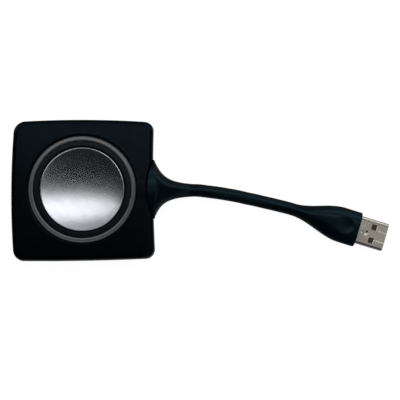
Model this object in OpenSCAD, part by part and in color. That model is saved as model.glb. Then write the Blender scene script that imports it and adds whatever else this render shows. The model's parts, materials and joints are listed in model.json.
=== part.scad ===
// Wireless presentation dongle: a square casing with one large lit push button on its top face,
// a short captive cable with a flared boot, and a USB-A plug in a moulded grip.
// Millimetres. The origin is the centre of the underside, +Z is up, +X points to the cable.

/* [Body] */
// Width of the square body across its bowed sides
body_w = 59.3; // [57:0.1:62]
// Height of the body above the table
body_h = 16.3; // [16:0.1:18]
// How far the sides bow outwards, on all but the cable's side
side_bow = 0.9; // [0:0.1:1]
// How far the cable's side draws in at its middle
side_waist = 0.4; // [0:0.1:0.6]
// Radius of the upright corners
corner_r = 4.8; // [4:0.1:6]
// Radius of the soft shoulder round the top face
shoulder_r = 1.6; // [1:0.1:1.8]
// How far the top face's edge stands in from the widest line of the sides
top_lean = 0.5; // [0.3:0.05:0.8]
// Radius of the edge round the underside
base_r = 1.8; // [1.2:0.1:2]
// How far the underside stands in from the widest line of the sides
base_lean = 1.4; // [1:0.1:1.6]
// How far the seam between the two covers, and the cable with it, lies below the body's middle
seam_drop = 0.75; // [0.55:0.05:0.95]
// Thickness of the side walls
side_wall = 1.9; // [1.6:0.1:2.1]
// Thickness of the top wall
top_wall = 1.8; // [1.6:0.1:2]
// Thickness of the floor
floor_t = 1.6; // [1.5:0.1:1.8]

/* [Foot pad] */
// How far the soft pad's edge stands in from the body's widest line
pad_inset = 6.85; // [6.4:0.05:7.6]
// Corner radius of the pad
pad_corner_r = 4; // [3:0.1:5]
// Thickness of the pad
pad_t = 0.9; // [0.8:0.05:1]
// How far the pad stands out below the casing
foot_rise = 0.4; // [0.3:0.05:0.5]

/* [Case screws] */
// How far the case screws stand in from the body's widest line, on both sides
case_screw_inset = 9.25; // [9.1:0.05:9.35]
// Diameter of the case screws
case_screw_d = 2; // [1.8:0.1:2.2]
// Diameter of their heads
case_screw_head_d = 3.6; // [3.4:0.1:3.8]
// Height of their heads
case_screw_head_h = 1.1; // [1:0.1:1.2]
// Diameter of the bosses that take them
case_boss_d = 5; // [4.8:0.1:5.2]
// How far the screws reach into the bosses of the top cover
case_screw_grip = 2.6; // [2:0.1:3]

/* [Button] */
// Width of the black band between the metal disc and the light ring
band_w = 2.6; // [2.5:0.1:3.3]
// Thickness of the disc at its rim
disc_t = 1.9; // [1.8:0.1:2.1]
// Depth of the dish in the disc
dish_depth = 1.1; // [0.8:0.1:1.2]
// Width of the bevel round the disc
disc_bevel = 0.5; // [0.3:0.1:0.7]
// How far the disc's rim stands below the top face
disc_sink = 0.2; // [0.1:0.05:0.4]
// How far the black band stands below the disc's rim
band_sink = 0.3; // [0.2:0.05:0.5]
// Thickness of the glue film under the disc
glue_t = 0.15; // [0.1:0.05:0.2]
// Thickness of the plate that carries the disc
carrier_t = 1.1; // [1:0.1:1.3]
// Thickness of the carrier's skirt
skirt_t = 1.3; // [1.1:0.1:1.5]
// Diameter of the post that presses the switch
post_d = 4.4; // [4:0.1:5]
// How far the button travels
button_travel = 0.4; // [0.3:0.05:0.45]
// Width of each of the carrier's hooks
hook_w = 4; // [3.5:0.1:4.5]
// Thickness of the hooks' legs
hook_leg_t = 1; // [0.9:0.1:1.1]
// Reach and height of the hooks' barbs
hook_barb = 0.7; // [0.6:0.05:0.8]

/* [Light ring] */
// How far the ring stands in from the body's widest line
ring_inset = 7.75; // [7.65:0.05:7.95]
// Width of the ring where it shows
ring_w = 1.8; // [1.7:0.05:1.85]
// How far the ring stands below the top face
ring_sink = 0.3; // [0.2:0.05:0.5]
// How far the ring's hidden flange reaches outwards
ring_flange_w = 0.8; // [0.6:0.1:0.9]
// Thickness of that flange
ring_flange_t = 0.9; // [0.8:0.1:1]
// Height of the ring's foot below the flange
ring_foot_h = 0.5; // [0.4:0.1:0.6]
// Radial gap between the ring and the cover's opening
opening_gap = 0.3; // [0.2:0.05:0.4]
// Bevel round the cover's opening
opening_bevel = 0.4; // [0.3:0.05:0.5]

/* [Button frame and light board] */
// Thickness of the frame that guides the button
frame_t = 1.2; // [1.1:0.1:1.3]
// Width of the frame's rim inside the slots for the hooks
frame_rim_w = 4.5; // [3.5:0.1:5.5]
// Thickness of the ring-shaped light board
light_board_t = 0.7; // [0.6:0.05:0.8]
// Size of each light: along the ring, across it, height
ring_led = [1.6, 1.2, 0.5];
// Number of lights
ring_led_count = 12; // [8:2:16]
// Gap between the lights and the ring
led_gap = 0.15; // [0.1:0.05:0.2]

/* [Main board] */
// Gap between the board and the side walls
board_gap = 1.55; // [1.35:0.05:1.85]
// Thickness of the board
board_t = 1; // [0.8:0.1:1.2]
// Corner radius of the board
board_corner_r = 2; // [1.5:0.1:2.5]
// Height of the board above the floor
board_rise = 2.4; // [2.2:0.1:2.6]
// Width of the cut-out at the cable
board_cut_w = 17; // [16.6:0.1:17.4]
// Diameter of the board screws
board_screw_d = 1.6; // [1.4:0.1:1.8]
// Diameter of their heads
board_screw_head_d = 2.8; // [2.6:0.1:3]
// Height of their heads
board_screw_head_h = 0.9; // [0.8:0.1:1]
// Length of the board screws under the head
board_screw_l = 3.2; // [3:0.1:3.3]
// Diameter of the board's bosses
board_boss_d = 3.6; // [3.4:0.1:3.8]

/* [Switch] */
// Width of the switch
switch_w = 6.2; // [6:0.1:6.4]
// Height of the switch's base
switch_base_h = 2.4; // [2.2:0.1:2.6]
// Thickness of the switch's metal cover
switch_cover_t = 0.3; // [0.2:0.05:0.4]
// Diameter of the well in the base
switch_well_d = 4.8; // [4.6:0.1:5]
// Depth of that well
switch_well_depth = 1.2; // [1.1:0.05:1.3]
// Diameter of the plunger
plunger_d = 3.2; // [3:0.1:3.4]
// How far the plunger stands above the cover
plunger_rise = 0.9; // [0.8:0.1:1]
// Thickness of the plunger's flange
plunger_flange_t = 0.3; // [0.25:0.05:0.35]
// Diameter of the plunger's flange
plunger_flange_d = 4.2; // [4:0.1:4.4]
// Height of the metal dome
dome_h = 0.55; // [0.5:0.05:0.6]
// Thickness of the dome's sheet
dome_t = 0.1; // [0.08:0.01:0.12]

/* [Chips] */
// Size of the processor
processor_size = [8.4, 8.4, 1.1];
// Size of each memory chip
memory_size = [6, 5, 1];
// Size of the flash chip
flash_size = [4, 5, 1.2];
// Size of the crystal
crystal_size = [3.2, 2.5, 0.8];
// Size of each power coil
coil_size = [3.4, 3.4, 1.6];
// Size of each capacitor
capacitor_size = [1.2, 1.8, 1];
// Size of the radio board
radio_board_size = [13, 10, 0.8];
// Size of the shield on the radio board
radio_shield_size = [12, 7, 1.2];

/* [Antennas and leads] */
// Size of each antenna strip
antenna_size = [24, 0.3, 4];
// Size of the coax plugs
coax_plug_size = [2.2, 2.2, 0.9];
// Diameter of the coax leads
coax_d = 0.8; // [0.7:0.05:0.9]
// Diameter of each wire
wire_d = 0.9; // [0.8:0.05:1]
// Size of the wire header on the board
header_size = [3, 8, 2.2];
// Size of the plug on the wires
wire_plug_size = [3, 6.8, 2];
// Size of the flex sockets
flex_socket_size = [6, 2.6, 1.1];
// Width of the flex
flex_w = 4; // [3.5:0.1:4.5]
// Thickness of the flex
flex_t = 0.2; // [0.15:0.05:0.25]

/* [Cable boot] */
// Radius of the curved notch that takes the boot
notch_r = 27; // [25:0.5:30]
// Depth of the notch
notch_depth = 3.6; // [3.3:0.1:3.7]
// Gap between the boot and the notch
notch_gap = 0.3; // [0.2:0.05:0.4]
// Length of the boot outside the body
boot_l = 16.6; // [15:0.1:18]
// Width of the boot where it meets the body
boot_w = 25.8; // [24:0.1:27]
// How far the boot's tip lies to the side that the plug turns to
boot_drift = 0.4; // [0:0.1:0.6]
// How far the boot's root stands below the top face
boot_drop = 0.65; // [0.4:0.05:1.5]
// How far it stands above the underside of the casing
boot_lift = 0.45; // [0.2:0.05:1]
// Diameter of the boot's neck through the wall
neck_d = 6.8; // [6.4:0.1:7]
// Width, height and thickness of the boot's flange inside the body
boot_flange = [1.4, 9, 6.8];

/* [Cable] */
// Diameter of the cable
cable_d = 5.4; // [5:0.1:5.8]
// Length of one step of the cable's route
route_unit = 1; // [0.98:0.01:1.02]
// Diameter of the cable's core inside the body
core_d = 3.4; // [3.2:0.1:3.6]
// Length of the core inside the body
core_l = 3.6; // [3.4:0.1:3.8]
// Size of the cable clamp
clamp_size = [2.8, 13, 1];
// Diameter of the clamp's screws and bosses
clamp_screw_d = 1.6; // [1.4:0.1:1.8]
clamp_boss_d = 3.2; // [3:0.1:3.4]
// Diameter and height of their flat heads
clamp_head_d = 2.4; // [2.2:0.1:2.4]
clamp_head_h = 0.5; // [0.4:0.05:0.6]

/* [Plug grip] */
// How far the plug turns away from the body's axis, in degrees
plug_turn = 17.5; // [10:0.5:20]
// Length of the grip
grip_l = 31.5; // [30:0.1:34]
// Width of the grip
grip_w = 15.4; // [15:0.1:16.5]
// Thickness of the grip
grip_t = 7.6; // [7.2:0.1:7.8]
// Where the grip starts to widen
grip_flare_from = 2.2; // [2:0.1:4]
// Where the grip reaches its full width
grip_flare_to = 24.4; // [22:0.1:26]
// Bevel round the front of the grip
grip_bevel = 0.5; // [0.3:0.1:0.7]
// Diameter of the thumb dimple
dimple_d = 7.9; // [7:0.1:9]
// Depth of the thumb dimple
dimple_depth = 0.7; // [0.5:0.1:0.9]
// Distance of the dimple's middle from the grip's front
dimple_back = 6.3; // [5.5:0.1:7]

/* [USB plug] */
// Width of the plug's shell
shell_w = 12; // [11.9:0.05:12.1]
// Thickness of the plug's shell
shell_h = 4.5; // [4.4:0.05:4.6]
// Thickness of the shell's sheet
shell_t = 0.3; // [0.28:0.01:0.35]
// Corner radius of the shell
shell_corner_r = 0.7; // [0.5:0.1:0.8]
// Length of the shell outside the grip
shell_out = 12.3; // [12:0.1:12.5]
// Length of the shell inside the grip
shell_in = 7; // [6:0.1:8]
// Size of each latch window, along and across the plug
window_size = [2.4, 2.2];
// Distance of the windows' middle from the plug's tip
window_back = 5.6; // [5:0.1:6]
// Distance of the windows' middle from the plug's axis
window_side = 2.9; // [2.7:0.1:3.1]
// Thickness of the tongue
tongue_t = 1.84; // [1.8:0.01:1.9]
// How far the tongue's end stands in from the tip
tongue_back = 0.6; // [0.5:0.1:1]
// Length, width and thickness of the outer contacts
contact_size = [7.4, 1, 0.15];
// How much shorter the two inner contacts are
contact_step = 1; // [0.8:0.1:1.2]
// Pitch of the outer contacts from the axis and of the inner ones
contact_outer_place = 3.5; // [3.4:0.05:3.6]
contact_inner_place = 1; // [0.95:0.05:1.05]
// Length of the block behind the tongue
plug_core_l = 12; // [11:0.1:13]

/* [Hidden] */

// How far cuts run past the faces that they open
cut = 1;
// Small clearance between pieces that slide or drop into each other
fit_gap = 0.1;
// Smoothness of the round pieces
$fn = 64;

// Points on each corner and each side of the body's outline
corner_steps = 6;
side_steps = 8;
// Rings on each rounded edge of the body
edge_steps = 4;

// Half sizes of the body before its sides are bowed, and its reach on the cable's side
half_x = (body_w - side_bow) / 2;
half_y = body_w / 2 - side_bow;
side_x = body_w / 2;
pad_w = body_w - 2 * pad_inset;
case_screw_place = body_w / 2 - case_screw_inset;

// Levels of the body, from the table up
floor_top = foot_rise + floor_t;
board_z = floor_top + board_rise;
board_top = board_z + board_t;
ceiling_z = body_h - top_wall;
seam_z = (body_h + foot_rise) / 2 - seam_drop;
cavity_half = half_y - side_wall - top_lean;
cavity_corner_r = corner_r - side_wall / 2;
pocket_half = half_y - base_lean - base_r - side_wall;

// Levels of the light ring and of what lies under it, from the top down
ring_top = body_h - ring_sink;
ring_r = body_w / 2 - ring_inset;
ring_bore_r = ring_r - ring_w;
ring_flange_r = ring_r + ring_flange_w;
ring_flange_z = ceiling_z - ring_flange_t;
ring_bottom = ring_flange_z - ring_foot_h;
light_board_top = ring_bottom - led_gap - ring_led.z;
light_board_z = light_board_top - light_board_t;
frame_z = light_board_z - frame_t;
frame_r = ring_flange_r;
opening_r = ring_r + opening_gap;

// Levels and radii of the button
band_r = ring_bore_r - 2 * fit_gap;
disc_r = band_r - band_w;
disc_top = body_h - disc_sink;
disc_z = disc_top - disc_t;
band_top = disc_top - band_sink;
well_r = disc_r + fit_gap;
glue_r = disc_r - disc_bevel;
carrier_floor = disc_z - glue_t;
carrier_z = carrier_floor - carrier_t;
skirt_z = light_board_z + button_travel + fit_gap;
barb_top = frame_z - fit_gap;
hook_r = band_r - skirt_t - fit_gap;
hook_angles = [60, 180, 300];
frame_hole_r = hook_r - hook_leg_t - frame_rim_w;

// The switch under the button's post
switch_z = board_top;
switch_base_top = switch_z + switch_base_h;
switch_top = switch_base_top + switch_cover_t;
well_z = switch_base_top - switch_well_depth;
plunger_top = switch_top + plunger_rise;
plunger_flange_z = well_z + dome_h + fit_gap / 2;
post_z = plunger_top + fit_gap / 2;

// The boot's notch and neck
notch_x = side_x - notch_depth;
notch_centre_x = notch_x + notch_r;
notch_wall_x = notch_x - side_wall;
flange_x = notch_wall_x - fit_gap - boot_flange.x;
boot_tip_x = side_x + boot_l;
boot_h = body_h - boot_drop - foot_rise - boot_lift;
boot_z = foot_rise + boot_lift + boot_h / 2;
neck_r = neck_d / 2;
cable_r = cable_d / 2;
core_x = flange_x - core_l;
clamp_x = flange_x - boot_flange.x - clamp_size.x;
clamp_z = seam_z + core_d / 2;
clamp_top = clamp_z + clamp_size.z;
clamp_head_z = clamp_top - clamp_head_h;
board_cut_x = clamp_x + (clamp_size.x - clamp_boss_d) / 2 - 2 * wire_d;

// How fast the boot narrows, and how square its root and the grip's front are
boot_fade_share = 4.3;
boot_square_share = 3.4;
grip_square_share = 4.2;

// The cable's route from the boot's tip to the grip, in steps of route_unit
route = [
    [0, 0, 0], [2.5, -0.1, 0], [5, -0.4, -0.1], [8, -0.8, -0.3], [11, -1.2, -0.6],
    [14, -1.7, -1], [17, -2.2, -1.4], [20, -2.8, -1.8], [23, -3.5, -2.2], [26, -4.1, -2.6],
    [29, -4.8, -3], [32, -5.5, -3.3], [35, -6.2, -3.5], [37, -6.7, -3.6], [39, -7.2, -3.7],
    [41.2, -7.8, -3.7]
];
cable_sides = 12;
route_step = 3;
cable_exit = [boot_tip_x, -boot_drift, seam_z];
plug_place = cable_exit + route_unit * route[len(route) - 1];

// Screws, chips and leads on the main board, as shares of half its width
board_half = cavity_half - board_gap;
board_screw_shares = [[0.4, 0.9], [-0.4, 0.9], [-0.4, -0.9], [0.4, -0.9]];
processor_share = [-0.48, -0.14];
memory_shares = [[-0.48, -0.56], [-0.1, -0.56]];
flash_share = [0.24, -0.5];
crystal_share = [-0.12, -0.3];
coil_shares = [[0.55, -0.36], [0.55, -0.6]];
radio_share = [-0.31, 0.47];
capacitor_share = [0.3, 0.42];
capacitor_pitch_share = [0.08, 0.11];
capacitor_rows = 3;
capacitor_columns = 5;
header_x = board_cut_x - header_size.x / 2 - wire_plug_size.x;
flex_share = [0, -0.86];
coax_share = 0.2;
antenna_z = seam_z + fit_gap;
antenna_x = -board_half / 4;
coax_plug_z = board_top + radio_board_size.z;

// Sizes inside the plug, measured from the grip's rear
shell_x = grip_l - shell_in;
tip_x = grip_l + shell_out;
shell_inner_w = shell_w - 2 * shell_t;
shell_inner_h = shell_h - 2 * shell_t;
tongue_z = shell_inner_h / 2 - tongue_t;
tongue_x = grip_l - shell_in / 2;
plug_core_x = tongue_x - plug_core_l;

// Outline of a rectangle with round corners, anticlockwise
function round_outline(half_x, half_y, r, arcs, sides) = [
    for (q = [0:3])
        let (
            turns = [[1, 1], [-1, 1], [-1, -1], [1, -1]],
            here = [turns[q].x * (half_x - r), turns[q].y * (half_y - r)],
            next_turn = turns[(q + 1) % 4],
            next = [next_turn.x * (half_x - r), next_turn.y * (half_y - r)],
            leave = r * [cos(90 * (q + 1)), sin(90 * (q + 1))]
        )
        each concat(
            [for (i = [0:arcs]) here + r * [cos(90 * (q + i / arcs)), sin(90 * (q + i / arcs))]],
            [for (i = [1:sides - 1]) here + leave + (next - here) * i / sides]
        )
];

// A point of the plain rectangle, moved by the bow or the waist of its side
function bowed(p, z) = [
    p.x + side_bow / 2 + (p.x < 0 ? side_bow : -side_waist) * p.x / half_x * (1 - pow(p.y / half_y, 2)),
    p.y + side_bow * p.y / half_y * (1 - pow(p.x / half_x, 2)),
    z
];

function body_ring(inset, z) = [
    for (p = round_outline(half_x - inset, half_y - inset, corner_r, corner_steps, side_steps))
        bowed(p, z)
];

// A superellipse across the X axis, with its half sizes and how square it is
function cross_ring(x, y, z, half_y, half_z, square, sides) = [
    for (i = [0:sides - 1])
        let (a = 360 * i / sides, power = 2 / square)
        [
            x,
            y + half_y * sign(cos(a)) * pow(abs(cos(a)), power),
            z + half_z * sign(sin(a)) * pow(abs(sin(a)), power)
        ]
];

// From 0 to 1 with level ends
function ease(t) = let (k = min(max(t, 0), 1)) k * k * (3 - 2 * k);

// From 1 at the root to 0 at the tip, steep at first
function fade(t) = (exp(-boot_fade_share * t) - exp(-boot_fade_share)) / (1 - exp(-boot_fade_share));

function mix(a, b, t) = a + (b - a) * t;

function unit(v) = v / norm(v);

// Rings of a round tube along a path, square to the path and at the two ends to the given directions
function tube_rings(path, r, sides, first, last) = [
    for (i = [0:len(path) - 1])
        let (
            ahead = path[min(i + 1, len(path) - 1)] - path[max(i - 1, 0)],
            along = unit(i == 0 ? first : i == len(path) - 1 ? last : ahead),
            side = unit(cross([0, 0, 1], along)),
            up = cross(along, side)
        )
        [for (k = [0:sides - 1]) path[i] + r * (cos(360 * k / sides) * side + sin(360 * k / sides) * up)]
];

// The middle of a ring of points
function middle(ring) = [for (p = ring) 1] * ring / len(ring);

// A closed skin through rings of points, with a fan of triangles over each end
module loft(rings) {
    n = len(rings[0]);
    m = len(rings);
    polyhedron(
        points = concat([for (ring = rings) each ring], [middle(rings[0]), middle(rings[m - 1])]),
        faces = concat(
            [for (j = [0:n - 1]) [m * n, j, (j + 1) % n]],
            [
                for (i = [0:m - 2], j = [0:n - 1])
                    let (a = i * n + j, b = i * n + (j + 1) % n)
                    each [[a, a + n, b + n], [a, b + n, b]]
            ],
            [for (j = [0:n - 1]) [m * n + 1, (m - 1) * n + (j + 1) % n, (m - 1) * n + j]]
        )
    );
}

module tube(path, r, sides, first, last) {
    loft(tube_rings(path, r, sides, first, last));
}

// A rectangle with round corners, made of true circles
module round_rect(w, h, r) {
    square([w - 2 * r, h], center = true);
    square([w, h - 2 * r], center = true);
    for (x = [-1, 1], y = [-1, 1])
        translate([x * (w / 2 - r), y * (h / 2 - r)])
            circle(r);
}

module round_slab(w, h, r, z, t) {
    translate([0, 0, z])
        linear_extrude(t)
            round_rect(w, h, r);
}

// A cylinder that stands from one height to another
module post(d, z0, z1) {
    translate([0, 0, z0])
        cylinder(d = d, h = z1 - z0);
}

module annulus(r0, r1, z0, z1) {
    difference() {
        post(2 * r1, z0, z1);
        post(2 * r0, z0 - cut, z1 + cut);
    }
}

module at_case_screws() {
    for (x = [-1, 1], y = [-1, 1])
        translate([x * case_screw_place, y * case_screw_place, 0])
            children();
}

module at_board_shares(shares) {
    for (s = shares)
        translate([s.x * board_half, s.y * board_half, 0])
            children();
}

module at_clamp_screws() {
    for (y = [-1, 1])
        translate([clamp_x + clamp_size.x / 2, y * (clamp_size.y - clamp_boss_d) / 2, 0])
            children();
}

// A block that stands on the main board, centred on its place
module chip(share, size) {
    translate([share.x * board_half - size.x / 2, share.y * board_half - size.y / 2, board_top])
        cube(size);
}

// Turns the children to the plug's place at the end of the cable
module at_plug() {
    translate(plug_place)
        rotate([0, 0, -plug_turn])
            children();
}

// Lies the children's Z axis along X
module along_x() {
    rotate([90, 0, 90])
        children();
}

// The curved column that the boot's notch is cut with, grown by a wall or shrunk by a gap
module notch_column(grow) {
    translate([notch_centre_x, 0, -cut])
        cylinder(r = notch_r + grow, h = body_h + 2 * cut, $fn = 180);
}

module neck_column(grow) {
    translate([flange_x, 0, seam_z])
        rotate([0, 90, 0])
            cylinder(r = neck_r + grow, h = side_x - flange_x + cut);
}

// The covers' common hollow, which leaves a wall round the boot's notch
module cavity(z0, z1, half) {
    difference() {
        translate([side_bow / 2, 0, 0])
            round_slab(2 * half, 2 * half, cavity_corner_r, z0, z1 - z0);
        notch_column(side_wall);
    }
}

module top_skin() {
    loft(concat(
        [
            body_ring(0, seam_z),
            body_ring(top_lean / 8, mix(seam_z, body_h - shoulder_r, 1 / 3)),
            body_ring(top_lean / 2, mix(seam_z, body_h - shoulder_r, 2 / 3))
        ],
        [
            for (i = [0:edge_steps])
                let (a = 90 * i / edge_steps)
                body_ring(top_lean + shoulder_r * (1 - cos(a)), body_h - shoulder_r * (1 - sin(a)))
        ]
    ));
}

module bottom_skin() {
    loft(concat(
        [
            for (i = [edge_steps:-1:0])
                let (a = 90 * i / edge_steps)
                body_ring(base_lean + base_r * (1 - cos(a)), foot_rise + base_r * (1 - sin(a)))
        ],
        [
            body_ring(base_lean / 4, mix(foot_rise + base_r, seam_z, 1 / 2)),
            body_ring(0, seam_z)
        ]
    ));
}

module top_cover() {
    color("#1b2024")
        difference() {
            union() {
                difference() {
                    top_skin();
                    cavity(seam_z - cut, ceiling_z, cavity_half);
                }
                at_case_screws()
                    post(case_boss_d, frame_z + frame_t, ceiling_z + cut / 2);
            }
            post(2 * opening_r, ceiling_z - cut, body_h + cut);
            translate([0, 0, body_h - opening_bevel])
                cylinder(r1 = opening_r, r2 = opening_r + opening_bevel + cut, h = opening_bevel + cut);
            notch_column(0);
            neck_column(fit_gap);
            at_case_screws()
                post(case_screw_d - 2 * fit_gap, frame_z, frame_z + frame_t + case_screw_grip + fit_gap);
        }
}

module bottom_cover() {
    color("#15191c")
        difference() {
            union() {
                difference() {
                    bottom_skin();
                    cavity(floor_top, board_z + fit_gap, pocket_half);
                    cavity(board_z, seam_z + cut, cavity_half);
                }
                at_case_screws()
                    post(case_boss_d, foot_rise + floor_t / 2, frame_z);
                at_board_shares(board_screw_shares)
                    post(board_boss_d, foot_rise + floor_t / 2, board_z);
                at_clamp_screws()
                    post(clamp_boss_d, foot_rise + floor_t / 2, clamp_z);
            }
            notch_column(0);
            neck_column(fit_gap);
            round_slab(pad_w + 2 * fit_gap, pad_w + 2 * fit_gap, pad_corner_r + fit_gap, -cut, pad_t + cut);
            at_case_screws()
                post(case_screw_d + 2 * fit_gap, -cut, frame_z + cut);
            at_case_screws()
                post(case_screw_head_d + 2 * fit_gap, -cut, pad_t + case_screw_head_h + fit_gap);
            at_board_shares(board_screw_shares)
                post(board_screw_d - 2 * fit_gap, board_top - board_screw_l - fit_gap, board_z + cut);
            at_clamp_screws()
                post(clamp_screw_d - 2 * fit_gap, board_z, clamp_z + cut);
        }
}

module foot_pad() {
    color("#101214")
        round_slab(pad_w, pad_w, pad_corner_r, 0, pad_t);
}

module case_screws() {
    head_z = pad_t + fit_gap;
    color("#b9bcc0")
        at_case_screws()
            difference() {
                union() {
                    post(case_screw_head_d, head_z, head_z + case_screw_head_h);
                    post(case_screw_d - 3 * fit_gap, head_z, frame_z + frame_t + case_screw_grip);
                }
                post(case_screw_d / 2, -cut, head_z + case_screw_head_h / 2, $fn = 6);
            }
}

module light_ring() {
    color("#6f7274")
        rotate_extrude($fn = 180)
            polygon([
                [ring_bore_r, ring_bottom],
                [ring_r, ring_bottom],
                [ring_r, ring_flange_z],
                [ring_flange_r, ring_flange_z],
                [ring_flange_r, ceiling_z],
                [ring_r, ceiling_z],
                [ring_r, ring_top - fit_gap],
                [ring_r - fit_gap, ring_top],
                [ring_bore_r + fit_gap, ring_top],
                [ring_bore_r, ring_top - fit_gap]
            ]);
}

// The dish is a shallow part of a large sphere
module button_disc() {
    dish_edge_r = disc_r - disc_bevel;
    dish_r = (dish_edge_r * dish_edge_r + dish_depth * dish_depth) / (2 * dish_depth);
    color("#b7b8bb")
        difference() {
            post(2 * disc_r, disc_z, disc_top, $fn = 180);
            translate([0, 0, disc_top - dish_depth + dish_r])
                sphere(r = dish_r, $fn = 250);
            rotate_extrude($fn = 180)
                polygon([
                    [disc_r - disc_bevel / 2, disc_top + cut],
                    [disc_r - disc_bevel / 2, disc_top],
                    [disc_r, disc_top - disc_bevel / 2],
                    [disc_r + cut, disc_top - disc_bevel / 2],
                    [disc_r + cut, disc_top + cut]
                ]);
        }
}

module disc_glue() {
    color("#d8d2b8")
        post(2 * glue_r, carrier_floor, disc_z);
}

module hooks() {
    barb_z = barb_top - hook_barb;
    for (a = hook_angles)
        rotate([0, 0, a]) {
            translate([hook_r - hook_leg_t, -hook_w / 2, barb_z])
                cube([hook_leg_t, hook_w, skirt_z + cut - barb_z]);
            translate([hook_r - hook_leg_t, -hook_w / 2, barb_z])
                cube([hook_leg_t + hook_barb, hook_w, hook_barb]);
        }
}

module button_carrier() {
    color("#0d0f11") {
        post(2 * well_r, carrier_z, carrier_floor);
        annulus(well_r, band_r, carrier_z, band_top);
        annulus(band_r - skirt_t, band_r, skirt_z, carrier_z);
        annulus(hook_r - hook_leg_t, band_r - skirt_t, skirt_z, carrier_z);
        post(post_d, post_z, carrier_z);
        hooks();
    }
}

module button_frame() {
    ear_d = case_boss_d;
    ear_start = frame_hole_r + ear_d / 2;
    color("#2c2f33")
        difference() {
            union() {
                post(2 * frame_r, frame_z, frame_z + frame_t);
                for (a = [45:90:315])
                    rotate([0, 0, a])
                        translate([ear_start, -ear_d / 2, frame_z])
                            cube([sqrt(2) * case_screw_place - ear_start, ear_d, frame_t]);
                at_case_screws()
                    post(ear_d, frame_z, frame_z + frame_t);
            }
            post(2 * frame_hole_r, frame_z - cut, frame_z + frame_t + cut);
            at_case_screws()
                post(case_screw_d + 2 * fit_gap, frame_z - cut, frame_z + frame_t + cut);
            for (a = hook_angles)
                rotate([0, 0, a])
                    translate([hook_r - hook_leg_t - 2 * fit_gap, -hook_w / 2 - 2 * fit_gap, frame_z - cut])
                        cube([hook_leg_t + 4 * fit_gap, hook_w + 4 * fit_gap, frame_t + 2 * cut]);
            translate([clamp_x - fit_gap, -clamp_size.y / 2 - 2 * fit_gap, frame_z - cut])
                cube([frame_r, clamp_size.y + 4 * fit_gap, frame_t + 2 * cut]);
        }
}

module light_board() {
    color("#1d5a3a")
        difference() {
            union() {
                annulus(ring_bore_r, frame_r, light_board_z, light_board_top);
                translate([-flex_socket_size.x / 2, -frame_r - flex_socket_size.y / 2, light_board_z])
                    cube([flex_socket_size.x, flex_socket_size.y, light_board_t]);
            }
            post(2 * ring_bore_r, light_board_z - cut, light_board_top + cut);
        }
}

module ring_lights() {
    color("#f3f0df")
        for (i = [0:ring_led_count - 1])
            rotate([0, 0, 360 * (i + 0.5) / ring_led_count])
                translate([
                    (ring_bore_r + ring_r) / 2 - ring_led.y / 2,
                    -ring_led.x / 2,
                    light_board_top
                ])
                    cube([ring_led.y, ring_led.x, ring_led.z]);
}

// The flex hangs from the light board's tab, outside the frame, and turns in to the socket below
module light_flex() {
    outer_y = -frame_r - flex_socket_size.y / 2;
    leg_z = board_top + flex_socket_size.z / 2;
    color("#b0702a") {
        translate([-flex_w / 2, outer_y, light_board_z - flex_t])
            cube([flex_w, flex_socket_size.y / 2 - fit_gap, flex_t]);
        translate([-flex_w / 2, outer_y, leg_z])
            cube([flex_w, flex_t, light_board_z - leg_z]);
        translate([-flex_w / 2, outer_y, leg_z])
            cube([flex_w, flex_share.y * board_half - flex_socket_size.y / 2 - outer_y, flex_t]);
    }
}

module flex_sockets() {
    color("#e9e6da")
        chip(flex_share, flex_socket_size);
}

module main_board() {
    corner_place = case_screw_place + case_boss_d;
    color("#17603c")
        difference() {
            round_slab(2 * board_half, 2 * board_half, board_corner_r, board_z, board_t);
            at_case_screws()
                post(case_boss_d + 4 * fit_gap, board_z - cut, board_top + cut);
            for (x = [-1, 1], y = [-1, 1])
                translate([x * corner_place, y * corner_place, board_top])
                    cube([2 * case_boss_d, 2 * case_boss_d, 4 * board_t], center = true);
            translate([board_cut_x, -board_cut_w / 2, board_z - cut])
                cube([board_half, board_cut_w, board_t + 2 * cut]);
            at_board_shares(board_screw_shares)
                post(board_screw_d + 2 * fit_gap, board_z - cut, board_top + cut);
        }
}

module board_screws() {
    head_top = board_top + board_screw_head_h;
    color("#c4c6c9")
        at_board_shares(board_screw_shares)
            difference() {
                union() {
                    post(board_screw_head_d, board_top, head_top);
                    post(board_screw_d - 3 * fit_gap, board_top - board_screw_l, board_top);
                }
                post(board_screw_d / 2, head_top - board_screw_head_h / 2, head_top + cut, $fn = 6);
            }
}

module switch_base() {
    color("#15171a")
        difference() {
            translate([-switch_w / 2, -switch_w / 2, switch_z])
                cube([switch_w, switch_w, switch_base_h]);
            post(switch_well_d, well_z, switch_base_top + cut);
        }
}

module switch_cover() {
    color("#c9cbce")
        difference() {
            translate([-switch_w / 2, -switch_w / 2, switch_base_top])
                cube([switch_w, switch_w, switch_cover_t]);
            post(plunger_d + 2 * fit_gap, switch_base_top - cut, switch_top + cut);
        }
}

// A shallow cap of a sphere, as thin as its sheet
module switch_dome() {
    edge_r = switch_well_d / 2 - fit_gap;
    outer_r = (edge_r * edge_r + dome_h * dome_h) / (2 * dome_h);
    color("#d9dadc")
        intersection() {
            translate([0, 0, well_z + dome_h - outer_r])
                difference() {
                    sphere(r = outer_r, $fn = 96);
                    sphere(r = outer_r - dome_t, $fn = 96);
                }
            post(2 * edge_r, well_z, well_z + dome_h + cut);
        }
}

module switch_plunger() {
    color("#e7e4da") {
        post(plunger_d, plunger_flange_z, plunger_top);
        post(plunger_flange_d, plunger_flange_z, plunger_flange_z + plunger_flange_t);
    }
}

module processor() {
    color("#1a1c1f")
        chip(processor_share, processor_size);
}

module memory_chips() {
    color("#1d1f22")
        for (s = memory_shares)
            chip(s, memory_size);
}

module flash_chip() {
    color("#1f2124")
        chip(flash_share, flash_size);
}

module crystal() {
    color("#cfd1d4")
        chip(crystal_share, crystal_size);
}

module power_coils() {
    color("#54575b")
        for (s = coil_shares)
            chip(s, coil_size);
}

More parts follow.
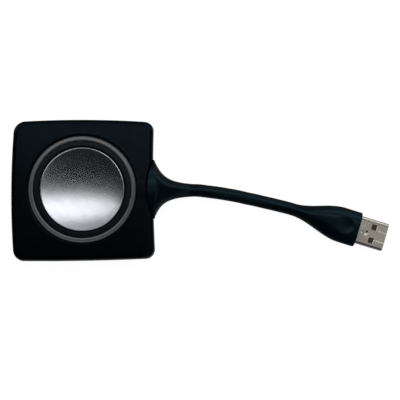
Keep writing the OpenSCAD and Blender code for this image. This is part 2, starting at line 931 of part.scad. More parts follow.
module capacitors() {
    color("#b59a76")
        for (row = [0:capacitor_rows - 1], column = [0:capacitor_columns - 1])
            chip(
                capacitor_share + [column * capacitor_pitch_share.x, row * capacitor_pitch_share.y],
                capacitor_size
            );
}

module radio_board() {
    color("#1b4f8a")
        chip(radio_share, radio_board_size);
}

module radio_shield() {
    shift = radio_board_size.y / 2 - radio_shield_size.y / 2 - fit_gap;
    color("#c3c6ca")
        translate([0, -shift, radio_board_size.z])
            chip(radio_share, radio_shield_size);
}

// Side 1 is the strip on the +Y wall, -1 the one on the -Y wall
module antenna(side) {
    color("#c78a3a")
        translate([antenna_x - antenna_size.x / 2, side * (cavity_half - antenna_size.y / 2), antenna_z])
            translate([0, -antenna_size.y / 2, 0])
                cube(antenna_size);
}

module antenna_front() {
    antenna(-1);
}

module antenna_back() {
    antenna(1);
}

function coax_plug_place(side) = [
    (radio_share.x + side * coax_share) * board_half,
    radio_share.y * board_half + radio_board_size.y / 2 - coax_plug_size.y / 2 - fit_gap,
    coax_plug_z + coax_plug_size.z / 2
];

module coax_plugs() {
    color("#d2b25a")
        for (side = [-1, 1])
            translate(coax_plug_place(side) - coax_plug_size / 2)
                cube(coax_plug_size);
}

// Each lead leaves its plug, crosses the board and ends under its antenna
module coax_leads() {
    far = cavity_half - antenna_size.y - coax_d / 2 - fit_gap;
    low = coax_plug_z + coax_plug_size.z / 2;
    high = antenna_z + antenna_size.z / 2;
    left = -board_half + coax_d;
    back = coax_plug_place(1) + [coax_plug_size.x / 2, 0, 0];
    front = coax_plug_place(-1) - [coax_plug_size.x / 2, 0, 0];
    color("#3a3d41") {
        tube(
            [
                back,
                back + [2 * coax_d, 0, 0],
                [back.x + 4 * coax_d, back.y + 4 * coax_d, low + coax_d / 2],
                [back.x + 4 * coax_d, far - 2 * coax_d, mix(low, high, 0.5)],
                [back.x + 2 * coax_d, far, high],
                [antenna_x, far, high]
            ],
            coax_d / 2, 8, [1, 0, 0], [-1, 0, 0]
        );
        tube(
            [
                front,
                front - [coax_d, 0, 0],
                [left + coax_d, front.y - 5 * coax_d, low],
                [left, 0, low],
                [left, -far + 8 * coax_d, low],
                [left + 2 * coax_d, -far + 2 * coax_d, mix(low, high, 0.5)],
                [left + 6 * coax_d, -far, high],
                [antenna_x, -far, high]
            ],
            coax_d / 2, 8, [-1, 0, 0], [1, 0, 0]
        );
    }
}

module wire_header() {
    color("#efece2")
        translate([header_x - header_size.x, -header_size.y / 2, board_top])
            cube(header_size);
}

module wire_plug() {
    color("#f4f1e8")
        translate([header_x, -wire_plug_size.y / 2, board_top + fit_gap])
            cube(wire_plug_size);
}

module usb_wires() {
    count = 4;
    start_x = header_x + wire_plug_size.x;
    start_z = board_top + fit_gap + wire_plug_size.z / 2;
    pitch = wire_plug_size.y / count;
    spread = (core_d - wire_d) / 2;
    colours = ["#c8322c", "#e8e8e8", "#2f8f4a", "#1c1c1c"];
    for (i = [0:count - 1]) {
        y = (i - (count - 1) / 2) * pitch;
        end_z = seam_z + spread * (i % 2 == 0 ? 1 : -1) / sqrt(2);
        color(colours[i])
            tube(
                [
                    [start_x, y, start_z],
                    [mix(start_x, core_x, 0.3), y, start_z],
                    [mix(start_x, core_x, 0.7), sign(y) * spread / sqrt(2), end_z],
                    [core_x, sign(y) * spread / sqrt(2), end_z]
                ],
                wire_d / 2, 8, [1, 0, 0], [1, 0, 0]
            );
    }
}

module cable_core() {
    color("#2a2c2f")
        translate([core_x, 0, seam_z])
            rotate([0, 90, 0])
                cylinder(d = core_d, h = core_l);
}

module cable_clamp() {
    color("#33363a")
        difference() {
            translate([clamp_x, -clamp_size.y / 2, clamp_z])
                cube(clamp_size);
            at_clamp_screws()
                post(clamp_screw_d + 2 * fit_gap, clamp_z - cut, clamp_top + cut);
            at_clamp_screws()
                post(clamp_head_d + 2 * fit_gap, clamp_head_z, clamp_top + cut);
        }
}

// Flat heads, sunk into the clamp
module clamp_screws() {
    color("#c4c6c9")
        at_clamp_screws() {
            post(clamp_head_d, clamp_head_z, clamp_top);
            post(clamp_screw_d - 3 * fit_gap, clamp_head_z - board_screw_l, clamp_head_z);
        }
}

// The flare is square where it fills the notch and round where the cable leaves it
module boot_skin() {
    flare_steps = 12;
    stations = concat(
        [notch_x, side_x],
        [for (i = [1:flare_steps]) mix(side_x, boot_tip_x, pow(i / flare_steps, 1.6))]
    );
    loft([
        for (x = stations)
            let (t = max(0, (x - side_x) / boot_l), f = fade(t))
            cross_ring(
                x, -boot_drift * t, mix(seam_z, boot_z, f),
                mix(cable_r, boot_w / 2, f),
                mix(cable_r, boot_h / 2, f),
                mix(2, boot_square_share, sqrt(f)),
                40
            )
    ]);
}

module cable_boot() {
    color("#10191d") {
        intersection() {
            boot_skin();
            notch_column(-notch_gap);
        }
        translate([flange_x + boot_flange.x / 2, 0, seam_z])
            rotate([0, 90, 0])
                cylinder(r = neck_r, h = notch_x - flange_x + notch_gap + boot_flange.x);
        translate([flange_x, -boot_flange.y / 2, seam_z - boot_flange.z / 2])
            cube(boot_flange);
    }
}

module cable() {
    path = [for (i = [0:route_step:len(route) - 1]) cable_exit + route_unit * route[i]];
    color("#10181c")
        tube(path, cable_r, cable_sides, [1, 0, 0], [cos(plug_turn), -sin(plug_turn), 0]);
}

module grip_skin() {
    flare_steps = 14;
    stations = concat(
        [0],
        [for (i = [0:flare_steps]) mix(grip_flare_from, grip_flare_to, i / flare_steps)],
        [grip_l - grip_bevel]
    );
    loft(concat(
        [
            for (x = stations)
                let (f = ease((x - grip_flare_from) / (grip_flare_to - grip_flare_from)))
                cross_ring(
                    x, 0, 0, mix(cable_r, grip_w / 2, f), mix(cable_r, grip_t / 2, f),
                    mix(2, grip_square_share, f), 40
                )
        ],
        [cross_ring(grip_l, 0, 0, grip_w / 2 - grip_bevel, grip_t / 2 - grip_bevel, grip_square_share, 40)]
    ));
}

module plug_grip() {
    dimple_r = dimple_d / 2;
    ball_r = (dimple_r * dimple_r + dimple_depth * dimple_depth) / (2 * dimple_depth);
    color("#0f1a1f")
        at_plug()
            difference() {
                grip_skin();
                translate([grip_l - dimple_back, 0, grip_t / 2 - dimple_depth + ball_r])
                    sphere(r = ball_r, $fn = 128);
                translate([shell_x, 0, 0])
                    along_x()
                        linear_extrude(shell_in + cut)
                            round_rect(shell_w, shell_h, shell_corner_r);
                translate([plug_core_x, -shell_inner_w / 2, -shell_inner_h / 2])
                    cube([shell_x - plug_core_x + fit_gap, shell_inner_w, shell_inner_h]);
            }
}

module plug_core() {
    color("#202326")
        at_plug()
            translate([plug_core_x, -shell_inner_w / 2, -shell_inner_h / 2])
                intersection() {
                    cube([plug_core_l, shell_inner_w, shell_inner_h]);
                    translate([0, shell_inner_w / 2, shell_inner_h / 2])
                        along_x()
                            linear_extrude(plug_core_l)
                                round_rect(shell_inner_w, shell_inner_h, shell_corner_r - shell_t);
                }
}

module usb_shell() {
    color("#a9a59d")
        at_plug()
            difference() {
                translate([shell_x, 0, 0])
                    along_x()
                        linear_extrude(shell_in + shell_out)
                            difference() {
                                round_rect(shell_w, shell_h, shell_corner_r);
                                round_rect(shell_inner_w, shell_inner_h, shell_corner_r - shell_t);
                            }
                for (y = [-1, 1])
                    translate([tip_x - window_back, y * window_side, 0])
                        cube([window_size.x, window_size.y, 2 * shell_h], center = true);
            }
}

module usb_tongue() {
    color("#17181a")
        at_plug()
            translate([tongue_x, -shell_inner_w / 2 + shell_corner_r, tongue_z])
                cube([tip_x - tongue_back - tongue_x, shell_inner_w - 2 * shell_corner_r, tongue_t]);
}

module usb_contacts() {
    color("#d9b45a")
        at_plug()
            for (side = [-1, 1], inner = [0, 1]) {
                reach = contact_size.x - inner * contact_step;
                place = inner == 1 ? contact_inner_place : contact_outer_place;
                translate([
                    tip_x - tongue_back - contact_size.x - contact_size.y,
                    side * place - contact_size.y / 2,
                    tongue_z - contact_size.z
                ])
                    cube([reach, contact_size.y, contact_size.z]);
            }
}

top_cover();
bottom_cover();
foot_pad();
case_screws();
light_ring();
button_disc();
disc_glue();
button_carrier();
button_frame();
light_board();
ring_lights();
light_flex();
flex_sockets();
main_board();
board_screws();
switch_base();
switch_cover();
switch_dome();
switch_plunger();
processor();
memory_chips();
flash_chip();
crystal();
power_coils();
capacitors();
radio_board();
radio_shield();
antenna_front();
antenna_back();
coax_plugs();
coax_leads();
wire_header();
wire_plug();
usb_wires();
cable_core();
cable_clamp();
clamp_screws();
cable_boot();
cable();
plug_grip();
plug_core();
usb_shell();
usb_tongue();
usb_contacts();
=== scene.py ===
# Wireless presentation dongle: detailed pieces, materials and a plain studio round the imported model
import json
import math

import bmesh
import bpy
import numpy as np
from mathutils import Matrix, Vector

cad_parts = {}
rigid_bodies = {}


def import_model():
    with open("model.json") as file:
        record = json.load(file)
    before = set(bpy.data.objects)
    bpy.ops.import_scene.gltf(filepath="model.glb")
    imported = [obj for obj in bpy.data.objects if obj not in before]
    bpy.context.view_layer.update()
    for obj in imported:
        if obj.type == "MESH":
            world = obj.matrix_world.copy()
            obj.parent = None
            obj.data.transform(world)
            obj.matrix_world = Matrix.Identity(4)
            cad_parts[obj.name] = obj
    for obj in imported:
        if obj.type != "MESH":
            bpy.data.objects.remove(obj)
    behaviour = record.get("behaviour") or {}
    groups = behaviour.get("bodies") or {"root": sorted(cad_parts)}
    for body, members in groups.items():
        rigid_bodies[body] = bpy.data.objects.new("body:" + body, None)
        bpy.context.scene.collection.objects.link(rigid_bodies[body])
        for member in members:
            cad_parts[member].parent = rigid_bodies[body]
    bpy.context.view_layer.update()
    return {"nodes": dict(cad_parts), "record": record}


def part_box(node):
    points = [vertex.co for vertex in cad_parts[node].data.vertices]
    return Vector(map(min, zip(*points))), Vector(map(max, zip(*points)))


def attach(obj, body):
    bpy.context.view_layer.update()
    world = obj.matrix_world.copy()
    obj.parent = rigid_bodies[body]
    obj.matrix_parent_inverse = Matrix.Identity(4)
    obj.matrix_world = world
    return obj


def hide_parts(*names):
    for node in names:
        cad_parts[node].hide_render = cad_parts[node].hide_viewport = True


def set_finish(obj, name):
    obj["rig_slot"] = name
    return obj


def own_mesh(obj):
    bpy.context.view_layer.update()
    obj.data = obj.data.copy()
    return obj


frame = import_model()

# Sizes are in mm. Meshes are made in mm and scaled once to metres.
MM = 0.001


def lowest(node):
    """A CAD node's lowest corner at rest, in mm."""
    return np.round(np.array(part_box(node)[0]) / MM, 2)


def highest(node):
    """A CAD node's highest corner at rest, in mm."""
    return np.round(np.array(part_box(node)[1]) / MM, 2)


# Casing: its widest line, seam and top, its underside and pad, and what its covers hold
SIDE_X, SEAM_Z, BODY_H = -lowest("top_cover")[0], lowest("top_cover")[2], highest("top_cover")[2]
FOOT_RISE, PAD_T = lowest("bottom_cover")[2], highest("foot_pad")[2]
BOARD_Z, FRAME_TOP = lowest("main_board")[2], highest("button_frame")[2]
FLOOR_T, TOP_WALL, SIDE_WALL, SEAM_GAP = 1.6, 1.8, 1.9, 0.02
FLOOR_TOP, CEILING_Z = FOOT_RISE + FLOOR_T, BODY_H - TOP_WALL

# Corners of the covers as (x, y, radius), and how far the sides between them bow: +X, +Y, -X, -Y
COVER_CORNERS = [(30.0, 28.25, 3.55), (-28.1, 28.38, 4.4), (-28.6, -29.2, 3.9), (30.0, -29.0, 4.0)]
COVER_BOWS = (-0.6, 1.0, 1.15, 0.45)
SHOULDER_R, TOP_LEAN, BASE_R, BASE_LEAN = 1.6, 0.5, 1.8, 1.4
EDGE_ROUND, SEAM_ROUND = 0.25, 0.13
# The top face falls away past this distance from the middle, by these curvatures: +X, +Y, -X, -Y
CROWN_FROM, CROWN = 19.0, (0.0030, 0.0009, 0.0009, 0.0018)
# The fall starts this far above the seam and is whole this much higher
CROWN_RISE, CROWN_RUN = 2, 5
CAVITY_HALF, CAVITY_R, CAVITY_SHIFT, POCKET_HALF = 26.35, 3.85, 0.45, 23.65
PAD_HALF, PAD_R, PAD_EDGE, PAD_SOFT = 22.9, 4.1, 0.12, 0.2

# The curved notch for the boot, which is narrower by a step from just under the seam
NOTCH_R, NOTCH_X, NOTCH_GAP, NOTCH_BLEND = 27.0, 26.05, 0.3, 0.12
NOTCH_CENTRE = NOTCH_X + NOTCH_R
NOTCH_STEP, STEP_DROP, STEP_RUN = 0.34, 0.1, 0.5
FAR_OFF = 99.0

# The round opening with its ledge, and the faint lip round it as (distance out, height)
OPENING_R, OPENING_ROUND, OPENING_SINK = 22.5, 0.1, 0.005
LEDGE_R, LEDGE_Z = 22.02, 14.95
OPENING_LIP = ((0.12, -0.0015), (0.34, 0.042), (0.38, 0.045), (0.42, 0.042), (0.66, 0.002),
               (0.72, 0.0003), (0.8, 0))

SCREW_D, SCREW_HEAD_D, SCREW_BOSS_D = 2.0, 3.6, 5.0
SCREW_PLACE = highest("case_screws")[0] - SCREW_HEAD_D / 2
SCREW_PLACES = [(x, y) for x in (-SCREW_PLACE, SCREW_PLACE) for y in (-SCREW_PLACE, SCREW_PLACE)]
# What a thread cuts, the play round a screw, the pocket for its head, a boss's root in the wall
THREAD_BITE, SCREW_GAP, HEAD_POCKET, BOSS_ROOT = 0.2, 0.1, 1.2, 0.4
OVERRUN = 1

# Button, light ring and switch
RING_FOOT_Z, RING_TOP, RING_FLANGE_R = (
    lowest("light_ring")[2], highest("light_ring")[2], highest("light_ring")[0])
RING_FOOT_H = 0.5
DISC_Z, DISC_TOP = lowest("button_disc")[2], highest("button_disc")[2]
POST_Z, WELL_Z, BAND_Z = (
    lowest("button_carrier")[2], lowest("disc_glue")[2], highest("button_carrier")[2])
GUIDE_R, PLATE_T, SKIRT_H = highest("button_carrier")[0], 1.1, 0.7
DOME_FOOT, DOME_H, PLUNGER_TRAVEL = 6.6, 0.55, 0.4

# Boot: how far its middle drifts to -Y, how far its root's tips reach, and its half width
CABLE_R = 2.7
BOOT_DRIFT, BOOT_TIP, BOOT_HALF_W = 0.4, 12.3, 12.9
CABLE_EXIT = (lowest("cable")[0], -BOOT_DRIFT, SEAM_Z)
BOOT_L = CABLE_EXIT[0] - SIDE_X
BOOT_Z = (lowest("cable_boot")[2] + highest("cable_boot")[2]) / 2
BOOT_HALF_H = (highest("cable_boot")[2] - lowest("cable_boot")[2]) / 2
BOOT_LIP, BOOT_LIFT, BOOT_LIFT_RUN = 0.4, 0.3, 8
# The flare's width is the sum of two falls, each as (share, rate)
BOOT_FALLS = ((0.4144, 6.7035), (0.5856, 2.9646))
# Its height is a slow S, with a share of a steeper fall that comes in over its root
S_SHARE, FALL_RATE, FALL_SHARE, FALL_IN_SHARE = 0.95, 3.2, 0.35, 0.3
FLANGE_X, FLANGE, FLANGE_BEVEL = lowest("cable_boot")[0], (1.4, 9.0, 6.8), 0.15
NECK_R, NECK_GAP, NECK_FROM, NECK_TO = 3.4, 0.1, FLANGE_X + 0.6, NOTCH_X + 1.2

# The cable's route from its exit, and the plug at its end
ROUTE = [
    (0, 0, 0), (2.5, -0.1, 0), (5, -0.4, -0.1), (8, -0.8, -0.3), (11, -1.2, -0.6),
    (14, -1.7, -1), (17, -2.2, -1.4), (20, -2.8, -1.8), (23, -3.5, -2.2), (26, -4.1, -2.6),
    (29, -4.8, -3), (32, -5.5, -3.3), (35, -6.2, -3.5), (37, -6.7, -3.6), (39, -7.2, -3.7),
    (41.2, -7.8, -3.7),
]
PLUG_PLACE = np.array(CABLE_EXIT) + np.array(ROUTE[-1])
PLUG_TURN = math.radians(-17.5)

# Places on the plug are measured along X from the grip's rear
GRIP_L, GRIP_HALF_W, GRIP_HALF_T, GRIP_BEVEL = 31.5, 7.57, 3.8, 0.5
# Where the grip's width and thickness grow, as (from, over)
WIDTH_RUN, THICKNESS_RUN = (2.2, 22.2), (0.5, 11)
# The grip lies a little to +Y at its rear and drifts to -Y along this run
GRIP_SIDE, GRIP_DRIFT, DRIFT_RUN = 0.04, 0.25, (14, 14)
DIMPLE_R, DIMPLE_DEPTH, DIMPLE_X, DIMPLE_EDGE = 3.95, 0.26, GRIP_L - 6.3, 0.03
# The grip's mesh is finer from here to its front, for the dimple
FINE_FROM = GRIP_L - 12
SHELL_HALF_W, SHELL_HALF_H, SHELL_T, SHELL_R = 6.0, 2.25, 0.3, 0.95
SHELL_FROM, SHELL_TO = GRIP_L - 7.0, GRIP_L + 12.3
SOCKET_GAP, SOCKET_DEPTH = 0.02, 1.2
WINDOW, WINDOW_X, WINDOW_SIDES = (2.05, 2.2), SHELL_TO - 5.9, (2.7, -3.15)
WINDOW_R, WINDOW_CHAMFER = 0.3, 0.2
# Grooves of the shell's top face: from, to, middle, width and depth
GROOVES = [
    (WINDOW_X + 1.35, SHELL_TO + 0.5, WINDOW_SIDES[1] + 0.45, 0.48, 0.031),
    (WINDOW_X + 1.9, SHELL_TO - 0.4, WINDOW_SIDES[0] - 1.05, 0.8, 0.03),
    (GRIP_L - 0.5, SHELL_TO + 0.5, 4.55, -0.5, 0.03),
]
# Stamped pits: place along and across the plug, and the hollow as (radius, depth)
PITS = [
    (GRIP_L + 3.4, -0.5, [(0.03, 0.6), (0.2, 0.6), (0.22, 0.15), (0.55, 0.13), (1.1, 0),
                          (1.18, -0.5)]),
    (GRIP_L + 1.5, -0.5, [(0.03, 0.13), (0.1, 0.125), (0.5, 0), (0.56, -0.5)]),
]

# Powers of a superellipse, from an ellipse to nearly a rectangle
OVAL, BOOT_POWER, GRIP_POWER, SOCKET_POWER = 2, 2.8, 3.2, 12
# Points round the turned pieces, the screw posts, the boot, its neck, the grip, and cable and pits
TURN_STEPS, POST_STEPS, BOOT_STEPS, NECK_STEPS, GRIP_STEPS, ROUND_STEPS = 288, 32, 160, 64, 176, 48


# Camera, its place in metres

CAMERA_PLACE, CAMERA_TILT = (0.0197734, -0.021789, 0.400), (0.0448, -0.0741, -0.0125)
SENSOR, LENS = 36, 83.69

scene = bpy.context.scene
camera_data = bpy.data.cameras.new("camera")
camera_data.sensor_width = SENSOR
camera_data.lens = LENS
camera = bpy.data.objects.new("camera", camera_data)
camera.location = CAMERA_PLACE
camera.rotation_euler = CAMERA_TILT
scene.collection.objects.link(camera)
scene.camera = camera


# Mesh helpers

def smooth_step(t):
    k = np.clip(t, 0, 1)
    return k * k * (3 - 2 * k)


def mix(a, b, t):
    return a + (b - a) * t


def skin(rings, loop=False):
    """Quads between rings of points, closed by a fan at each end or, as a loop, end to end."""
    n, m = len(rings[0]), len(rings)
    points = [tuple(p) for ring in rings for p in ring]
    faces = []
    for i in range(m if loop else m - 1):
        a, b = i * n, (i + 1) % m * n
        faces += [(a + j, a + (j + 1) % n, b + (j + 1) % n, b + j) for j in range(n)]
    for k in () if loop else (0, (m - 1) * n):
        points.append(tuple(np.mean(points[k:k + n], axis=0)))
        faces += [(len(points) - 1, k + j, k + (j + 1) % n) for j in range(n)]
    return points, faces


def rounded(corners, closed=True, steps=4):
    """A profile through corners (a, b, radius), each corner rounded by its radius."""
    out = []
    for i, (a, b, radius) in enumerate(corners):
        if not radius or (not closed and i in (0, len(corners) - 1)):
            out.append((a, b))
            continue
        here = np.array((a, b))
        before = np.array(corners[i - 1][:2]) - here
        after = np.array(corners[(i + 1) % len(corners)][:2]) - here
        before, after = before / np.linalg.norm(before), after / np.linalg.norm(after)
        half = math.acos(np.clip(before @ after, -1, 1)) / 2
        middle = (before + after) / np.linalg.norm(before + after)
        centre = here + middle * radius / math.sin(half)
        first = here + before * radius / math.tan(half) - centre
        last = here + after * radius / math.tan(half) - centre
        start = math.atan2(first[1], first[0])
        turn = (math.atan2(last[1], last[0]) - start + math.pi) % (2 * math.pi) - math.pi
        for k in range(steps + 1):
            a = start + turn * k / steps
            out.append(tuple(centre + radius * np.array((math.cos(a), math.sin(a)))))
    return out


def lathe(profile, centre=(0, 0), steps=240, loop=False):
    """A profile of (radius, height) turned round a vertical line."""
    turns = 2 * np.pi * np.arange(steps) / steps
    across = np.stack([np.cos(turns), np.sin(turns)], 1)
    rings = [np.column_stack([np.array(centre) + r * across, np.full(steps, z)])
             for r, z in profile]
    return skin(rings, loop)


def block(low, high, bevel=0.1):
    """A closed block with bevelled edges, as a skin."""
    bm = bmesh.new()
    bmesh.ops.create_cube(bm, size=1)
    low, high = np.array(low, float), np.array(high, float)
    for v in bm.verts:
        v.co = tuple(low + (np.array(v.co) + 0.5) * (high - low))
    bmesh.ops.bevel(bm, geom=bm.edges[:], offset=bevel, segments=2, affect="EDGES")
    points = [tuple(v.co) for v in bm.verts]
    faces = [tuple(v.index for v in f.verts) for f in bm.faces]
    bm.free()
    return points, faces


def mesh_of(name, skins, sharp=32):
    """One mesh in metres from closed skins in mm."""
    points, faces = [], []
    for p, f in skins:
        faces += [tuple(i + len(points) for i in face) for face in f]
        points += p
    mesh = bpy.data.meshes.new(name)
    mesh.from_pydata((np.array(points) * MM).tolist(), [], faces)
    bm = bmesh.new()
    bm.from_mesh(mesh)
    bmesh.ops.recalc_face_normals(bm, faces=bm.faces[:])
    bm.to_mesh(mesh)
    bm.free()
    shade(mesh, sharp)
    return mesh


def shade(mesh, sharp):
    """Smooth shading, with edges sharper than an angle in degrees kept sharp."""
    mesh.polygons.foreach_set("use_smooth", [True] * len(mesh.polygons))
    mesh.set_sharp_from_angle(angle=math.radians(sharp))


def piece(mesh, body, slot, node):
    """A shown piece, named as its mesh, that rides on a body and stands for a CAD node."""
    made = bpy.data.objects.new(mesh.name, mesh)
    scene.collection.objects.link(made)
    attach(made, body)
    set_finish(made, slot)
    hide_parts(node)
    return made


def cut(made, cutters, sharp=32):
    """Takes closed cutters, skins in mm, out of a piece and leaves a plain mesh."""
    for i, cutter in enumerate(cutters):
        tool = bpy.data.objects.new(f"cutter_{i}", mesh_of(f"cutter_{i}", [cutter]))
        scene.collection.objects.link(tool)
        modifier = made.modifiers.new("cut", "BOOLEAN")
        modifier.object, modifier.operation, modifier.solver = tool, "DIFFERENCE", "EXACT"
        done = bpy.data.meshes.new_from_object(
            made.evaluated_get(bpy.context.evaluated_depsgraph_get()))
        made.modifiers.clear()
        made.data = done
        bpy.data.objects.remove(tool)
    shade(made.data, sharp)


# Outline of the casing

def outline(corners, bows=(0, 0, 0, 0), arc_steps=41, side_steps=60):
    """Distance of a rounded four-sided shape from the Z axis by angle, with bowed sides."""
    points, ends = [], []
    for q, (x, y, radius) in enumerate(corners):
        centre = np.array((x - math.copysign(radius, x), y - math.copysign(radius, y)))
        arc = np.radians(90 * q + np.linspace(0, 90, arc_steps))
        ends.append(centre + radius * np.stack([np.cos(arc), np.sin(arc)], 1))
    for q, bend in enumerate(ends):
        points += list(bend)
        points += [mix(bend[-1], ends[(q + 1) % 4][0], i / side_steps)
                   for i in range(1, side_steps)]
    x, y = np.array(points).T
    half = np.abs([c[:2] for c in corners]).mean(axis=0)
    side, end = np.where(x > 0, bows[0], bows[2]), np.where(y > 0, bows[1], bows[3])
    bowed_x = x + side * x / half[0] * np.maximum(1 - (y / half[1]) ** 2, 0)
    bowed_y = y + end * y / half[1] * np.maximum(1 - (x / half[0]) ** 2, 0)
    angle = np.arctan2(bowed_y, bowed_x) % (2 * np.pi)
    order = np.argsort(angle)
    angle, reach = angle[order], np.hypot(bowed_x, bowed_y)[order]
    return lambda at: np.interp(at % (2 * np.pi), angle, reach, period=2 * np.pi)


def square(half, radius, shift=0.0):
    return outline([(shift + x * half, y * half, radius)
                    for x, y in ((1, 1), (-1, 1), (-1, -1), (1, -1))])


def to_circle(at, radius):
    """Distance from the Z axis to the near side of a circle round the notch's centre."""
    under = radius ** 2 - (NOTCH_CENTRE * np.sin(at)) ** 2
    hits = (under > 0) & (np.cos(at) > 0)
    near = NOTCH_CENTRE * np.cos(at) - np.sqrt(np.maximum(under, 0))
    return np.where(hits, near, FAR_OFF)


def soft_min(a, b, width):
    """The smaller of two, blended where they are within a width of each other."""
    h = np.clip(0.5 + 0.5 * (b - a) / width, 0, 1)
    return b + (a - b) * h - width * h * (1 - h)


def body_angles():
    """Angles round the casing, close together at its corners and at the notch and its edges."""
    at = [np.arange(0, 360, 0.75), np.arange(-30, 30, 0.3)]
    at += [q + np.arange(-8, 8, 0.4) for q in (45, 135, 225, 315)]
    at += [s * np.arange(20.5, 25.5, 0.1) for s in (-1, 1)]
    return np.radians(np.unique(np.round(np.concatenate(at) % 360, 3)))


ANGLES = body_angles()
ACROSS = np.stack([np.cos(ANGLES), np.sin(ANGLES)], 1)


def side_reach(inset, z, extra=0.0):
    """The covers' outer side by angle: the outline, cut by the notch with its rounded edges.

    Under the seam the notch is narrower, so that the boot's root closes it."""
    over = max(z - (BODY_H - EDGE_ROUND), FOOT_RISE + EDGE_ROUND - z, 0)
    over = EDGE_ROUND - math.sqrt(max(EDGE_ROUND ** 2 - over ** 2, 0))
    step = NOTCH_STEP * smooth_step((SEAM_Z - STEP_DROP - z) / STEP_RUN)
    inset = inset + extra
    plain = outline([(x - math.copysign(inset, x), y - math.copysign(inset, y), r)
                     for x, y, r in COVER_CORNERS], COVER_BOWS)(ANGLES)
    return soft_min(plain, to_circle(ANGLES, NOTCH_R - step) - over - extra, NOTCH_BLEND)


def hollow_reach(half):
    """The inner side by angle: a square, kept a wall's thickness from the notch."""
    plain = square(half, CAVITY_R, CAVITY_SHIFT)(ANGLES)
    return np.minimum(plain, to_circle(ANGLES, NOTCH_R + SIDE_WALL))


def ring_at(reach, z):
    """A ring of points at a distance from the Z axis, which may differ by angle."""
    reach = np.broadcast_to(reach, ANGLES.shape)
    return np.column_stack([ACROSS * reach[:, None], np.broadcast_to(z, ANGLES.shape)])


def seam_rings(up):
    """The covers' rounded edge at the seam, from their side to their rim. up is 1 or -1."""
    return [ring_at(side_reach(0, SEAM_Z, SEAM_ROUND * (1 - math.cos(a))),
                    SEAM_Z + up * (SEAM_ROUND * (1 - math.sin(a)) + SEAM_GAP))
            for a in np.radians(np.linspace(0, 90, 4))]


def round_the_neck(ring, up):
    """Bends the seam's end of a wall over or under the boot's neck."""
    ring = np.array(ring)
    reach = NECK_R + NECK_GAP
    near = (ring[:, 0] > 0) & (np.abs(ring[:, 1]) < reach)
    arch = up * np.sqrt(np.maximum(reach ** 2 - ring[:, 1] ** 2, 0))
    far = BODY_H if up > 0 else FOOT_RISE
    share = (far - ring[:, 2]) / (far - SEAM_Z)
    ring[:, 2] += np.where(near, arch * np.clip(share, 0, 1), 0)
    return ring


def crowned(ring):
    """Lets the top face fall away a little towards its sides."""
    ring = np.array(ring)
    away = np.column_stack([ring[:, :2], -ring[:, :2]]) - CROWN_FROM
    drop = (np.maximum(away, 0) ** 2 * CROWN).sum(axis=1)
    ring[:, 2] -= drop * np.clip((ring[:, 2] - SEAM_Z - CROWN_RISE) / CROWN_RUN, 0, 1)
    return ring


# Covers

def top_cover():
    rings = [ring_at(LEDGE_R, CEILING_Z), ring_at(LEDGE_R, LEDGE_Z), ring_at(OPENING_R, LEDGE_Z),
             ring_at(OPENING_R, mix(LEDGE_Z, BODY_H, 0.6))]
    for a in np.radians(np.linspace(0, 90, 8)):
        rings.append(ring_at(OPENING_R + OPENING_ROUND * (1 - math.cos(a)),
                             BODY_H - OPENING_SINK - OPENING_ROUND * (1 - math.sin(a))))
    rings += [ring_at(OPENING_R + out, BODY_H + up) for out, up in OPENING_LIP]
    rim = OPENING_R + OPENING_LIP[-1][0]
    land = side_reach(TOP_LEAN + SHOULDER_R, BODY_H)
    rings += [ring_at(rim + (land - rim) * f, BODY_H) for f in (0.04, 0.15, 0.4, 0.65, 0.85, 0.96)]
    for a in np.radians(np.linspace(90, 0, 13)):
        z = BODY_H - SHOULDER_R * (1 - math.sin(a))
        rings.append(ring_at(side_reach(TOP_LEAN + SHOULDER_R * (1 - math.cos(a)), z), z))
    for t in (0.85, 2 / 3, 0.5, 1 / 3, 0.15):
        z = mix(SEAM_Z, BODY_H - SHOULDER_R, t)
        rings.append(ring_at(side_reach(TOP_LEAN * t ** 1.5, z), z))
    rings = [crowned(ring) for ring in rings + seam_rings(1)]
    hollow = hollow_reach(CAVITY_HALF)
    rings.append(ring_at(hollow, SEAM_Z + SEAM_GAP))
    rings += [ring_at(hollow, mix(SEAM_Z, CEILING_Z, f)) for f in (0.3, 0.7, 1)]
    rings = [round_the_neck(ring, 1) for ring in rings]
    bore, boss = (SCREW_D - THREAD_BITE) / 2, SCREW_BOSS_D / 2
    z0, z1 = FRAME_TOP, CEILING_Z + BOSS_ROOT
    tube = [(bore, z0), (boss, z0), (boss, z1), (bore, z1)]
    posts = [lathe(tube, place, POST_STEPS, loop=True) for place in SCREW_PLACES]
    return mesh_of("top_cover_shell", [skin(rings, loop=True), *posts])


